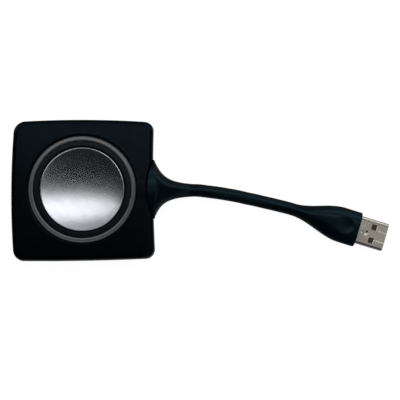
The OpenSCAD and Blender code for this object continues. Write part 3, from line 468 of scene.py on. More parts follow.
def bottom_cover():
    pad = square(PAD_HALF, PAD_R)(ANGLES)
    rings = [ring_at(pad * f, PAD_T) for f in (0.02, 0.3, 0.6, 0.85, 1)]
    rings += [ring_at(pad, FOOT_RISE + PAD_EDGE), ring_at(pad + PAD_EDGE, FOOT_RISE)]
    foot = side_reach(BASE_LEAN + BASE_R, FOOT_RISE)
    rings += [ring_at(pad + PAD_EDGE + (foot - pad - PAD_EDGE) * f, FOOT_RISE)
              for f in (0.3, 0.7, 0.94)]
    for a in np.radians(np.linspace(90, 0, 13)):
        z = FOOT_RISE + BASE_R * (1 - math.sin(a))
        rings.append(ring_at(side_reach(BASE_LEAN + BASE_R * (1 - math.cos(a)), z), z))
    for t in (0.2, 0.4, 0.6, 0.8, 0.88, 0.92, 0.96):
        z = mix(FOOT_RISE + BASE_R, SEAM_Z, t)
        rings.append(ring_at(side_reach(BASE_LEAN * (1 - t) ** 2, z), z))
    rings += seam_rings(-1)
    hollow, pocket = hollow_reach(CAVITY_HALF), hollow_reach(POCKET_HALF)
    rings += [ring_at(hollow, SEAM_Z - SEAM_GAP), ring_at(hollow, mix(BOARD_Z, SEAM_Z, 0.4)),
              ring_at(hollow, BOARD_Z), ring_at(pocket, BOARD_Z)]
    rings += [ring_at(pocket * f, FLOOR_TOP) for f in (1, 0.7, 0.35, 0.02)]
    rings = [round_the_neck(ring, -1) for ring in rings]
    return mesh_of("bottom_cover_shell", [skin(rings)])


def post(place, radius, z0, z1):
    return lathe([(radius, z0), (radius, z1)], place, POST_STEPS)


piece(top_cover(), "root", "soft_touch_top", "top_cover")
bottom = piece(bottom_cover(), "root", "soft_touch_base", "bottom_cover")
cut(bottom, [post(place, SCREW_HEAD_D / 2 + SCREW_GAP, PAD_T - OVERRUN, PAD_T + HEAD_POCKET)
             for place in SCREW_PLACES]
    + [post(place, SCREW_D / 2 + SCREW_GAP, PAD_T, FLOOR_TOP + OVERRUN) for place in SCREW_PLACES])


# Light ring, button and switch dome

def light_ring():
    """The light guide: a flange held under the top wall, and a faint hollow between soft lips."""
    inner, outer, flange = 20.12, 21.8, RING_FLANGE_R
    foot, under, over = RING_FOOT_Z, RING_FOOT_Z + RING_FOOT_H, CEILING_Z - SEAM_GAP
    edge = 0.08
    profile = rounded([
        (inner, foot, edge), (outer, foot, edge), (outer, under, edge), (flange, under, edge),
        (flange, over, edge), (outer, over, edge), (outer, RING_TOP - 0.08, edge),
        (21.71, RING_TOP - 0.043, 0.2), (21.58, RING_TOP - 0.04, 0.5),
        (21.38, RING_TOP - 0.057, 0.8), (20.68, RING_TOP - 0.035, 0.8),
        (20.35, RING_TOP - 0.065, 0.4), (inner, RING_TOP - 0.095, edge),
    ], steps=6)
    return mesh_of("light_ring_guide", [lathe(profile, loop=True, steps=TURN_STEPS)])


def button_disc():
    """A dished disc with a rounded bead at its rim."""
    side_r, side_round, side_z = 17.21, 0.15, DISC_TOP - 0.5
    bead_r, bead_z, bead = 16.94, DISC_TOP - 0.27, 0.27
    dish_r, edge_r, edge_z, axis_r = 128.8, 16.78, DISC_TOP - 0.17, 0.4
    profile = rounded([(axis_r, DISC_Z, 0), (side_r, DISC_Z, side_round), (side_r, side_z, 0)],
                      closed=False)
    for a in np.radians(np.linspace(0, 150, 13)):
        profile.append((bead_r + bead * math.cos(a), bead_z + bead * math.sin(a)))
    at_edge = math.sqrt(dish_r ** 2 - edge_r ** 2)
    for r in [edge_r, 16.6, 16.2, *np.linspace(15.6, 0.6, 26)]:
        profile.append((r, edge_z - (math.sqrt(dish_r ** 2 - r ** 2) - at_edge)))
    return mesh_of("button_disc_dish", [lathe(profile, steps=TURN_STEPS)], sharp=40)


def button_carrier():
    """The moulding that holds the disc: its band, its well, its guide, its post and three hooks."""
    well_r, wall_r, band_r, post_r, axis_r = 17.5, 17.75, 19.98, 2.2, 0.4
    wall_z, plate_z, skirt_z = WELL_Z + 0.35, WELL_Z - PLATE_T, WELL_Z - PLATE_T - SKIRT_H
    guide_z = 13.2
    profile = rounded([
        (axis_r, WELL_Z, 0), (well_r, WELL_Z, 0.1), (wall_r, wall_z, 0.1),
        (wall_r, BAND_Z - 0.032, 0.06), (18.12, BAND_Z, 0.6), (18.22, BAND_Z, 0),
        (19.68, BAND_Z, 0), (band_r, BAND_Z, 0.22), (band_r, guide_z + 0.1, 0.1),
        (GUIDE_R, guide_z, 0.05), (GUIDE_R, skirt_z, 0.1), (well_r, skirt_z, 0.1),
        (well_r, plate_z, 0.15), (post_r, plate_z, 0.4), (post_r, POST_Z, 0.3), (axis_r, POST_Z, 0),
    ], closed=False, steps=5)
    skins = [lathe(profile, steps=TURN_STEPS)]
    hook_half, leg_t, barb_t, barb_h = 2, 1.0, 1.7, 0.7
    hook_z, hook_top = POST_Z + 0.7, skirt_z + 0.15
    for turn in np.radians((60, 180, 300)):
        for thick, top in ((leg_t, hook_top), (barb_t, hook_z + barb_h)):
            points, faces = block((well_r, -hook_half, hook_z), (well_r + thick, hook_half, top))
            c, s = math.cos(turn), math.sin(turn)
            skins.append(([(x * c - y * s, x * s + y * c, z) for x, y, z in points], faces))
    return mesh_of("button_carrier_band", skins)


def switch_dome(foot, high):
    """The switch's metal dome, a thin cap over its well."""
    edge, sheet = highest("switch_dome")[0], 0.1
    radius = (edge ** 2 + high ** 2) / (2 * high)
    centre = foot + high - radius
    under = math.sqrt((radius - sheet) ** 2 - (foot - centre) ** 2)
    profile = [(r, centre + math.sqrt((radius - sheet) ** 2 - r ** 2))
               for r in np.linspace(0.1, under, 16)]
    profile += [(r, centre + math.sqrt(radius ** 2 - r ** 2)) for r in np.linspace(edge, 0.1, 18)]
    return mesh_of("switch_dome_sheet", [lathe(profile, steps=96)])


piece(light_ring(), "root", "light_guide", "light_ring")
piece(button_disc(), "button", "blasted_aluminium", "button_disc")
piece(button_carrier(), "button", "carrier_black", "button_carrier")

# The switch's dome at rest, on a mesh of its own
pressed = piece(switch_dome(DOME_FOOT, DOME_H), "root", "tin_sheet", "switch_dome")
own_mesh(pressed)


# Boot, cable and plug

def section(half_y, half_z, power, steps):
    """Points of a superellipse, evenly spaced along its line and starting on +Y."""
    a = np.linspace(0, 2 * np.pi, 4097)
    y = half_y * np.sign(np.cos(a)) * np.abs(np.cos(a)) ** (2 / power)
    z = half_z * np.sign(np.sin(a)) * np.abs(np.sin(a)) ** (2 / power)
    run = np.concatenate([[0], np.cumsum(np.hypot(np.diff(y), np.diff(z)))])
    at = np.linspace(0, run[-1], steps, endpoint=False)
    return np.interp(at, run, y), np.interp(at, run, z)


def fade(t, k):
    """A fall from 1 to 0 that starts steep and slows down, the more so for a larger k."""
    return (math.exp(-k * t) - math.exp(-k)) / (1 - math.exp(-k))


def boot_section(x, inset=0.0):
    """The flare's section: its width falls at once, its height in a slower S."""
    t = max(0.0, (x - SIDE_X) / BOOT_L)
    wide = sum(share * fade(t, rate) for share, rate in BOOT_FALLS)
    steeper = FALL_SHARE * smooth_step(t / FALL_IN_SHARE)
    tall = mix(1 - smooth_step(t / S_SHARE), fade(t, FALL_RATE), steeper)
    half_y, half_z = mix(CABLE_R, BOOT_HALF_W, wide), mix(CABLE_R, BOOT_HALF_H, tall)
    power = mix(OVAL, BOOT_POWER, math.sqrt(wide))
    y, z = section(half_y - inset, half_z - inset, power, BOOT_STEPS)
    lift = BOOT_LIFT * (1 - smooth_step((x - SIDE_X) / BOOT_LIFT_RUN))
    y = np.clip(y - BOOT_DRIFT * t + lift, -BOOT_TIP, BOOT_TIP)
    return y, z + mix(SEAM_Z, BOOT_Z, tall)


def cable_boot():
    """The flare with its rounded root in the notch, its neck through the wall and its collar."""
    root_x, step = SIDE_X + 0.1, 0.02

    def root(y, out=0.0):
        at = NOTCH_CENTRE - np.sqrt((NOTCH_R - NOTCH_GAP) ** 2 - y ** 2) + out
        return np.minimum(at, root_x)

    y, z = boot_section(SIDE_X, BOOT_LIP)
    rings = [np.column_stack([root(y * s), y * s, BOOT_Z + (z - BOOT_Z) * s])
             for s in (0.04, 0.35, 0.7, 0.9)]
    for a in np.radians(np.linspace(0, 90, 7)):
        y, z = boot_section(SIDE_X, BOOT_LIP * (1 - math.sin(a)))
        rings.append(np.column_stack([root(y, BOOT_LIP * (1 - math.cos(a))), y, z]))
    start = root(y, BOOT_LIP)
    rings += [np.column_stack([mix(start, root_x + step, f), y, z]) for f in (0.3, 0.6, 0.85)]
    for t in np.linspace(0, 1, 54):
        x = mix(root_x + 2 * step, SIDE_X + BOOT_L, t ** 1.35)
        rings.append(np.column_stack([np.full(BOOT_STEPS, x), *boot_section(x)]))
    turn = 2 * np.pi * np.arange(NECK_STEPS) / NECK_STEPS
    y, z = NECK_R * np.cos(turn), SEAM_Z + NECK_R * np.sin(turn)
    neck = skin([np.column_stack([np.full(NECK_STEPS, x), y, z])
                 for x in np.linspace(NECK_FROM, NECK_TO, 6)])
    thick, wide, high = FLANGE
    flange = block((FLANGE_X, -wide / 2, SEAM_Z - high / 2),
                   (FLANGE_X + thick, wide / 2, SEAM_Z + high / 2), FLANGE_BEVEL)
    return mesh_of("cable_boot_flare", [skin(rings), neck, flange], sharp=40)


def spline(points, first, last, count):
    """A smooth curve through points, with the given directions at its ends, at even steps."""
    p = np.array(points, float)
    run = np.concatenate([[0], np.cumsum(np.linalg.norm(np.diff(p, axis=0), axis=1))])
    n = len(p)
    lhs, rhs = np.zeros((n, n)), np.zeros((n, 3))
    lhs[0, 0] = lhs[-1, -1] = 1
    rhs[0], rhs[-1] = first, last
    for i in range(1, n - 1):
        h0, h1 = run[i] - run[i - 1], run[i + 1] - run[i]
        lhs[i, i - 1], lhs[i, i], lhs[i, i + 1] = h1, 2 * (h0 + h1), h0
        rhs[i] = 3 * (h1 * (p[i] - p[i - 1]) / h0 + h0 * (p[i + 1] - p[i]) / h1)
    slope = np.linalg.solve(lhs, rhs)
    out, along = [], []
    for s in np.linspace(0, run[-1], count):
        i = min(max(int(np.searchsorted(run, s)) - 1, 0), n - 2)
        h = run[i + 1] - run[i]
        t = (s - run[i]) / h
        start, end = (t ** 3 - 2 * t ** 2 + t) * h, (t ** 3 - t ** 2) * h
        out.append((2 * t ** 3 - 3 * t ** 2 + 1) * p[i] + start * slope[i]
                   + (3 * t ** 2 - 2 * t ** 3) * p[i + 1] + end * slope[i + 1])
        along.append((6 * t ** 2 - 6 * t) / h * (p[i] - p[i + 1])
                     + (3 * t ** 2 - 4 * t + 1) * slope[i] + (3 * t ** 2 - 2 * t) * slope[i + 1])
    return np.array(out), np.array(along)


def cable():
    """The jacket's mesh and its middle line."""
    ahead = (math.cos(PLUG_TURN), math.sin(PLUG_TURN), 0)
    places = [np.array(CABLE_EXIT) + np.array(p) for p in ROUTE]
    line, along = spline(places, (1, 0, 0), ahead, 110)
    turn = 2 * np.pi * np.arange(ROUND_STEPS) / ROUND_STEPS
    rings = []
    for place, way in zip(line, along):
        way = way / np.linalg.norm(way)
        side = np.cross((0, 0, 1), way)
        side /= np.linalg.norm(side)
        up = np.cross(way, side)
        rings.append(place + CABLE_R * (np.outer(np.cos(turn), side) + np.outer(np.sin(turn), up)))
    return mesh_of("cable_jacket_tube", [skin(rings)], sharp=50), line


def at_plug(points):
    """Points of the plug, measured from the grip's rear, where they lie on the part."""
    p = np.asarray(points, float)
    c, s = math.cos(PLUG_TURN), math.sin(PLUG_TURN)
    turned = np.column_stack([p[:, 0] * c - p[:, 1] * s, p[:, 0] * s + p[:, 1] * c, p[:, 2]])
    return [tuple(q) for q in turned + PLUG_PLACE]


def grown(x, run):
    """How much of a change is done at x, 0 to 1, for a run given as (from, over)."""
    return smooth_step((x - run[0]) / run[1])


def grip_section(x, inset=0.0):
    wide, thick = grown(x, WIDTH_RUN), grown(x, THICKNESS_RUN)
    half_y, half_z = mix(CABLE_R, GRIP_HALF_W, wide), mix(CABLE_R, GRIP_HALF_T, thick)
    y, z = section(half_y - inset, half_z - inset, mix(OVAL, GRIP_POWER, wide), GRIP_STEPS)
    y = y + GRIP_SIDE - GRIP_DRIFT * grown(x, DRIFT_RUN)
    return np.column_stack([np.full(GRIP_STEPS, x), y, z])


def dimpled(ring):
    """Lowers what lies under the thumb, into a round bowl with a softened edge."""
    above, reach, front = 1.5, 1.4, GRIP_L - 0.1
    off = np.hypot(ring[:, 0] - DIMPLE_X, ring[:, 1]) / DIMPLE_R
    bowl = DIMPLE_DEPTH * (1 - off ** 2)
    soft = DIMPLE_EDGE * np.exp(np.minimum((bowl - DIMPLE_EDGE) / DIMPLE_EDGE, 0))
    depth = np.where(bowl > DIMPLE_EDGE, bowl, soft)
    on_top = (ring[:, 2] > above) & (off < reach) & (ring[:, 0] < front)
    lowered = ring.copy()
    lowered[:, 2] -= np.where(on_top, depth, 0)
    return lowered


def plug_grip():
    """The overmoulded handle, with the thumb's dimple and the socket round the shell's root."""
    rear = np.linspace(0, sum(WIDTH_RUN), 64)
    front = np.linspace(FINE_FROM, GRIP_L - GRIP_BEVEL, 90)
    rings = [grip_section(x) for x in np.unique(np.round(np.concatenate([rear, front]), 3))]
    for a in np.radians(np.linspace(15, 90, 6)):
        rings.append(grip_section(GRIP_L - GRIP_BEVEL * (1 - math.sin(a)),
                                  GRIP_BEVEL * (1 - math.cos(a))))
    y, z = section(SHELL_HALF_W + SOCKET_GAP, SHELL_HALF_H + SOCKET_GAP, SOCKET_POWER, GRIP_STEPS)
    face, mouth, inner = rings[-1], *[np.column_stack([np.full(GRIP_STEPS, x), y, z])
                                      for x in (GRIP_L, GRIP_L - SOCKET_DEPTH)]
    rings += [mix(face, mouth, 0.2), mix(face, mouth, 0.5), mouth, inner]
    return mesh_of("plug_grip_overmould", [skin([at_plug(dimpled(r)) for r in rings])], sharp=40)


def round_rect(half_w, half_h, radius, steps):
    points = []
    for q, (sx, sy) in enumerate([(1, 1), (-1, 1), (-1, -1), (1, -1)]):
        for k in range(steps + 1):
            a = math.radians(90 * (q + k / steps))
            points.append((sx * (half_w - radius) + radius * math.cos(a),
                           sy * (half_h - radius) + radius * math.sin(a)))
    return points


def usb_shell():
    """The formed shell, an open tube with a rounded front edge."""
    lip, swell, straight = 0.12, 0.04, SHELL_TO - 0.3

    def ring(x, inset):
        radius = max(SHELL_R - inset, 0.2)
        around = round_rect(SHELL_HALF_W - inset, SHELL_HALF_H - inset, radius, ROUND_STEPS)
        return at_plug([(x, y, z) for y, z in around])

    along = (SHELL_FROM, GRIP_L, mix(GRIP_L, SHELL_TO, 0.5), straight)
    rings = [ring(x, 0) for x in along]
    for a in np.radians(np.linspace(0, 180, 7)):
        inset = SHELL_T / 2 * (1 - math.cos(a)) + swell * math.sin(a)
        rings.append(ring(SHELL_TO - lip * (1 - math.sin(a)), inset))
    rings += [ring(x, SHELL_T) for x in reversed(along)]
    return mesh_of("usb_shell_formed", [skin(rings, loop=True)], sharp=25)


def window(y):
    """A cutter for a window through both faces of the shell, with a chamfered edge."""
    past, face, chamfer = 4, SHELL_HALF_H, WINDOW_CHAMFER
    rings = []
    for z, grow in ((-past, chamfer), (-face, chamfer), (chamfer - face, 0),
                    (face - chamfer, 0), (face, chamfer), (past, chamfer)):
        hole = round_rect(WINDOW[0] / 2 + grow, WINDOW[1] / 2 + grow, WINDOW_R + grow / 2, 4)
        rings.append(at_plug([(WINDOW_X + a, y + b, z) for a, b in hole]))
    return skin(rings)


def groove(x0, x1, y, width, depth):
    """A cutter for a shallow groove along the plug.

    It is deepest at its +Y side, or at its -Y side for a width below 0."""
    over = SHELL_HALF_H + 0.5
    steep = math.copysign(0.05, width)
    line = [(y - width / 2, SHELL_HALF_H), (y + width / 2 - steep, SHELL_HALF_H - depth),
            (y + width / 2, SHELL_HALF_H), (y + width / 2, over), (y - width / 2, over)]
    return skin([at_plug([(x, a, b) for a, b in line]) for x in (x0, x1)])


def pit(x, y, profile):
    """A cutter for a round hollow in the shell's top face, by its (radius, depth)."""
    turn = 2 * np.pi * np.arange(ROUND_STEPS) / ROUND_STEPS
    return skin([
        at_plug(np.column_stack([x + r * np.cos(turn), y + r * np.sin(turn),
                                 np.full(ROUND_STEPS, SHELL_HALF_H - depth)]))
        for r, depth in profile
    ])


boot = piece(cable_boot(), "root", "cable_jacket", "cable_boot")
cable_mesh, cable_line = cable()
cord = piece(cable_mesh, "root", "cable_jacket", "cable")
grip = piece(plug_grip(), "root", "cable_jacket", "plug_grip")
shell = piece(usb_shell(), "root", "plug_nickel", "usb_shell")

cut(shell, [window(y) for y in WINDOW_SIDES] + [groove(*row) for row in GROOVES]
    + [pit(*row) for row in PITS], sharp=2.2)


# Materials

class Nodes:
    """A node tree that is filled one node at a time."""

    def __init__(self, tree):
        self.tree = tree

    def add(self, kind, inputs=(), **settings):
        """A new node. Each input takes a value, or the output that feeds it."""
        node = self.tree.nodes.new(kind)
        for key, value in settings.items():
            setattr(node, key, value)
        for key, value in dict(inputs).items():
            self.set(node.inputs[key], value)
        return node

    def set(self, socket, value):
        if isinstance(value, bpy.types.NodeSocket):
            self.tree.links.new(value, socket)
        else:
            socket.default_value = value

    def math(self, operation, a, b):
        return self.add("ShaderNodeMath", {0: a, 1: b}, operation=operation).outputs[0]


class Material(Nodes):
    """A material whose pattern comes from object coordinates. Sizes are in mm."""

    def __init__(self, name, metallic=0.0, specular=0.5, tint=(1, 1, 1)):
        self.made = bpy.data.materials.new(name)
        self.made.use_nodes = True
        super().__init__(self.made.node_tree)
        self.shader = self.tree.nodes["Principled BSDF"]
        self.shader.inputs["Metallic"].default_value = metallic
        self.shader.inputs["Specular IOR Level"].default_value = specular
        self.shader.inputs["Specular Tint"].default_value = (*tint, 1)
        self.place = self.add("ShaderNodeTexCoord").outputs["Object"]

    def turned(self, angle, stretch):
        """Object coordinates turned about Z and stretched."""
        made = self.add("ShaderNodeMapping", {"Vector": self.place, "Rotation": (0, 0, -angle)})
        spread = self.add("ShaderNodeMapping", {"Vector": made.outputs[0], "Scale": stretch})
        return spread.outputs[0]

    def noise(self, size, detail=2, place=None):
        made = self.add("ShaderNodeTexNoise", {"Vector": place or self.place,
                                               "Scale": 1 / (size * MM), "Detail": detail})
        return made.outputs["Fac"]

    def cells(self, size):
        """Distance from the middles of scattered cells."""
        made = self.add("ShaderNodeTexVoronoi", {"Vector": self.place, "Scale": 1 / (size * MM)})
        return made.outputs["Distance"]

    def fit(self, value, a, b, c, d):
        """A value between a and b, brought to between c and d."""
        return self.add("ShaderNodeMapRange", {"Value": value, "From Min": a, "From Max": b,
                                               "To Min": c, "To Max": d}).outputs["Result"]

    def blend(self, share, a, b):
        """A share of colour b over colour a. Inputs 6 and 7 are the node's colour sockets."""
        made = self.add("ShaderNodeMix", data_type="RGBA")
        for key, value in ((0, share), (6, a), (7, b)):
            self.set(made.inputs[key], (*value, 1) if isinstance(value, tuple) else value)
        return made.outputs[2]

    def edges(self, radius):
        """1 along convex edges and 0 on faces."""
        soft = self.add("ShaderNodeBevel", {"Radius": radius * MM}, samples=4)
        plain = self.add("ShaderNodeNewGeometry").outputs["Normal"]
        made = self.add("ShaderNodeVectorMath", {0: soft.outputs[0], 1: plain},
                        operation="DOT_PRODUCT")
        return self.fit(made.outputs["Value"], 0.99, 0.85, 0, 1)

    def bump(self, height, depth, under=None):
        """A normal from a height pattern, on top of the normal under it."""
        made = self.add("ShaderNodeBump", {"Height": height, "Strength": 1, "Distance": depth * MM})
        if under:
            self.set(made.inputs["Normal"], under)
        return made.outputs["Normal"]

    def cloud(self, size):
        """Soft patches, from 0 to 1."""
        return self.fit(self.noise(size, 4), 0.3, 0.7, 0, 1)

    def gloss(self, size, a, b):
        """Roughness that wanders between a and b."""
        return self.fit(self.noise(size, 3), 0.25, 0.75, a, b)

    def finish(self, colour, rough, normal):
        for key, value in (("Base Color", colour), ("Roughness", rough), ("Normal", normal)):
            self.set(self.shader.inputs[key], value)
        return self.made


def scaled(colour, k):
    return tuple(c * k for c in colour)


def worn(name, colour, rough, metallic=0.0, specular=0.5, tint=(1, 1, 1), patch=5.0, shade_by=0.15,
         grain=0.12, depth=0.004, rough_by=0.05, wear=0.3, wear_to=None, pits=0.0):
    """A plain moulded or formed finish: cloudy colour, fine grain, uneven gloss, rubbed edges."""
    m = Material(name, metallic, specular, tint)
    tone = m.blend(m.cloud(patch), scaled(colour, 1 - shade_by), scaled(colour, 1 + shade_by))
    rub = m.math("MULTIPLY", m.edges(0.2), m.fit(m.noise(0.9, 3), 0.35, 0.75, 0, wear))
    tone = m.blend(rub, tone, wear_to or scaled(colour, 1.8))
    gloss = m.gloss(patch * 0.45, rough - rough_by, rough + rough_by)
    normal = m.bump(m.noise(grain, 2), depth)
    if pits:
        normal = m.bump(m.cells(pits), depth * 2, under=normal)
    return m.finish(tone, gloss, normal)


def blasted():
    """Bead-blasted aluminium: a fine bright grain, with faint cloudy patches."""
    m = Material("blasted_aluminium", 1.0)
    tone = m.blend(m.cloud(4), (0.68, 0.695, 0.735), (0.74, 0.76, 0.80))
    speck = m.fit(m.noise(0.22, 2), 0.35, 0.7, 0, 0.3)
    tone = m.blend(speck, tone, (0.82, 0.84, 0.86))
    rub = m.math("MULTIPLY", m.edges(0.15), m.fit(m.noise(0.8, 3), 0.3, 0.7, 0, 0.5))
    tone = m.blend(rub, tone, (0.9, 0.9, 0.9))
    normal = m.bump(m.noise(0.35, 2), 0.00032)
    normal = m.bump(m.cells(0.16), 0.00005, under=normal)
    return m.finish(tone, m.gloss(2.6, 0.15, 0.17), normal)


def drawn_nickel():
    """Nickel-plated sheet with fine lines along the plug and a warm, uneven tint."""
    m = Material("plug_nickel", 1.0)
    lines = m.noise(1.0, 4, m.turned(PLUG_TURN, (0.25, 6.0, 6.0)))
    tone = m.blend(m.cloud(2.6), (0.66, 0.585, 0.47), (0.765, 0.69, 0.57))
    tone = m.blend(m.fit(lines, 0.35, 0.7, 0, 0.35), tone, (0.85, 0.79, 0.69))
    rub = m.math("MULTIPLY", m.edges(0.12), m.fit(m.noise(0.7, 3), 0.35, 0.7, 0, 0.7))
    tone = m.blend(rub, tone, (0.85, 0.83, 0.79))
    normal = m.bump(m.noise(0.9, 2), 0.0006, under=m.bump(lines, 0.0006))
    return m.finish(tone, m.gloss(1.6, 0.17, 0.24), normal)


def solder_mask():
    """A green board: lighter tracks under the mask, with rows of small plated holes."""
    m = Material("board_green")
    tracks = m.add("ShaderNodeTexBrick", {
        "Vector": m.place, "Scale": 1 / (2.2 * MM), "Mortar Size": 0.035, "Mortar Smooth": 0.2,
        "Color1": (0, 0, 0, 1), "Color2": (0.35, 0.35, 0.35, 1), "Mortar": (1, 1, 1, 1)})
    tone = m.blend(m.cloud(3), (0.008, 0.06, 0.028), (0.012, 0.085, 0.04))
    tone = m.blend(tracks.outputs["Color"], tone, (0.02, 0.14, 0.07))
    vias = m.fit(m.cells(1.7), 0.1, 0.13, 1, 0)
    tone = m.blend(vias, tone, (0.55, 0.42, 0.16))
    tone = m.blend(m.math("MULTIPLY", m.edges(0.15), 0.6), tone, (0.35, 0.30, 0.16))
    return m.finish(tone, m.gloss(1.5, 0.24, 0.36), m.bump(tracks.outputs["Fac"], 0.02))


def wire_colours():
    """Four insulated leads side by side: red, white, green and black by their place across."""
    m = Material("wire_colours")
    half_row = 2.4 * MM
    across = m.add("ShaderNodeSeparateXYZ", {"Vector": m.place}).outputs["Y"]
    ramp = m.add("ShaderNodeValToRGB", {"Fac": m.fit(across, -half_row, half_row, 0, 1)})
    ramp.color_ramp.interpolation = "CONSTANT"
    stops = [(0.0, (0.55, 0.02, 0.015)), (0.25, (0.75, 0.75, 0.72)), (0.5, (0.02, 0.3, 0.05)),
             (0.75, (0.012, 0.012, 0.014))]
    while len(ramp.color_ramp.elements) < len(stops):
        ramp.color_ramp.elements.new(0.5)
    for element, (at, colour) in zip(ramp.color_ramp.elements, stops):
        element.position, element.color = at, (*colour, 1)
    cloud = m.fit(m.noise(1.2, 3), 0.3, 0.7, 0, 0.25)
    tone = m.blend(cloud, ramp.outputs["Color"], (0.25, 0.25, 0.25))
    tone = m.blend(m.math("MULTIPLY", m.edges(0.1), 0.2), tone, (0.6, 0.6, 0.6))
    return m.finish(tone, m.gloss(0.8, 0.34, 0.48), m.bump(m.noise(0.15), 0.004))


def foam():
    """Closed-cell foam with open pores on its face, their middles darkened with painted shade."""
    m = Material("pad_foam", specular=0.3)
    pores = m.cells(0.45)
    tone = m.blend(m.cloud(4), (0.016, 0.017, 0.019), (0.026, 0.027, 0.03))
    # The pores' middles are darkened: painted shade in their hollows
    tone = m.blend(m.fit(pores, 0.1, 0.35, 0.7, 0), tone, (0.006, 0.006, 0.007))
    tone = m.blend(m.math("MULTIPLY", m.edges(0.3), 0.4), tone, (0.05, 0.05, 0.052))
    normal = m.bump(pores, 0.06, under=m.bump(m.noise(0.2, 3), 0.02))
    return m.finish(tone, m.gloss(1, 0.78, 0.95), normal)


TEAL = (0.46, 0.76, 1.0)

# The plain finishes, by their slots
WORN = {
    "soft_touch_top": dict(
        colour=(0.0003, 0.0004, 0.0005), rough=0.23, specular=0.155, tint=TEAL, patch=9,
        shade_by=0.2, grain=0.14, depth=0.0012, rough_by=0.03, wear=0.25,
        wear_to=(0.003, 0.0045, 0.0055)),
    "soft_touch_base": dict(
        colour=(0.0007, 0.001, 0.0012), rough=0.26, specular=0.13, tint=TEAL, patch=9,
        shade_by=0.2, grain=0.16, depth=0.003, rough_by=0.04, wear=0.25,
        wear_to=(0.003, 0.0045, 0.0055)),
    "screw_steel": dict(colour=(0.5, 0.5, 0.51), rough=0.3, metallic=1.0, grain=0.3, depth=0.004,
                        wear_to=(0.8, 0.8, 0.8)),
    "light_guide": dict(
        colour=(0.046, 0.051, 0.053), rough=0.16, specular=0.95, patch=6, shade_by=0.06,
        grain=0.3, depth=0.0008, rough_by=0.02, wear=0.2, wear_to=(0.08, 0.085, 0.087)),
    "glue_film": dict(colour=(0.55, 0.5, 0.36), rough=0.5, grain=0.8, depth=0.02),
    "carrier_black": dict(
        colour=(0.001, 0.0014, 0.0015), rough=0.24, specular=0.24, tint=(0.7, 0.85, 1), patch=6,
        grain=0.2, depth=0.0015, wear_to=(0.012, 0.014, 0.015)),
    "frame_grey": dict(colour=(0.035, 0.037, 0.04), rough=0.45, grain=0.25, depth=0.006),
    "led_resin": dict(colour=(0.75, 0.68, 0.35), rough=0.25, grain=0.3, depth=0.004),
    "flex_amber": dict(colour=(0.42, 0.17, 0.025), rough=0.3, grain=0.5, depth=0.006, pits=1.1),
    "connector_cream": dict(colour=(0.62, 0.57, 0.45), rough=0.45, grain=0.3, depth=0.006),
    "chip_black": dict(colour=(0.014, 0.014, 0.015), rough=0.5, depth=0.006,
                       wear_to=(0.05, 0.05, 0.05)),
    "tin_sheet": dict(colour=(0.55, 0.55, 0.54), rough=0.33, metallic=1.0, grain=0.6, depth=0.006,
                      wear_to=(0.75, 0.75, 0.74)),
    "coil_grey": dict(colour=(0.06, 0.06, 0.063), rough=0.6, grain=0.2, depth=0.012, pits=0.4),
    "capacitor_tan": dict(colour=(0.33, 0.22, 0.11), rough=0.45, grain=0.2, depth=0.006),
    "radio_blue": dict(colour=(0.012, 0.04, 0.13), rough=0.32, grain=0.5, depth=0.006, pits=1.4),
    "gold_plate": dict(colour=(0.72, 0.50, 0.16), rough=0.26, metallic=1.0, grain=0.2,
                       depth=0.003, wear_to=(0.9, 0.75, 0.4)),
    "lead_grey": dict(colour=(0.09, 0.09, 0.095), rough=0.45, grain=0.15, depth=0.005),
    "cable_jacket": dict(
        colour=(0.0002, 0.0022, 0.0036), rough=0.19, specular=0.22, tint=(0.47, 0.83, 0.98),
        patch=7, shade_by=0.18, grain=0.16, depth=0.0012, rough_by=0.03, wear=0.2,
        wear_to=(0.003, 0.007, 0.009)),
    "tongue_black": dict(colour=(0.020, 0.014, 0.006), rough=0.4, grain=0.2, depth=0.006),
}
finishes = {slot: worn(slot, **look) for slot, look in WORN.items()}
finishes |= {"pad_foam": foam(), "blasted_aluminium": blasted(), "board_green": solder_mask(),
             "wire_colours": wire_colours(), "plug_nickel": drawn_nickel()}


def dress(made, slot):
    """Gives all faces of a piece or a CAD node its slot's finish."""
    made.data.materials.clear()
    made.data.materials.append(finishes[slot])
    made.data.polygons.foreach_set("material_index", [0] * len(made.data.polygons))


for row in frame["record"]["subparts"]:
    dress(frame["nodes"][row["node"]], row["material_slot"])
for made in scene.objects:
    if made.get("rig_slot"):
        dress(made, made["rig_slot"])

# The foam pad's edges are soft
soften = frame["nodes"]["foot_pad"].modifiers.new("soften", "BEVEL")
soften.width, soften.segments, soften.limit_method = PAD_SOFT * MM, 3, "ANGLE"


# Floor, in metres: white to the camera, faint in reflections, clear from beneath

FLOOR_HALF, FLOOR_Z = 4.0, -0.00005
FLOOR_GLOW, FLOOR_MATTE, MIRRORED_SHARE = (0.94, 0.94, 0.94, 1), (0.11, 0.11, 0.11, 1), 0.1

floor_mesh = bpy.data.meshes.new("floor")
floor_mesh.from_pydata(
    [(x * FLOOR_HALF, y * FLOOR_HALF, FLOOR_Z) for x, y in ((-1, -1), (1, -1), (1, 1), (-1, 1))],
    [], [(0, 1, 2, 3)])
floor = bpy.data.objects.new("floor", floor_mesh)
scene.collection.objects.link(floor)

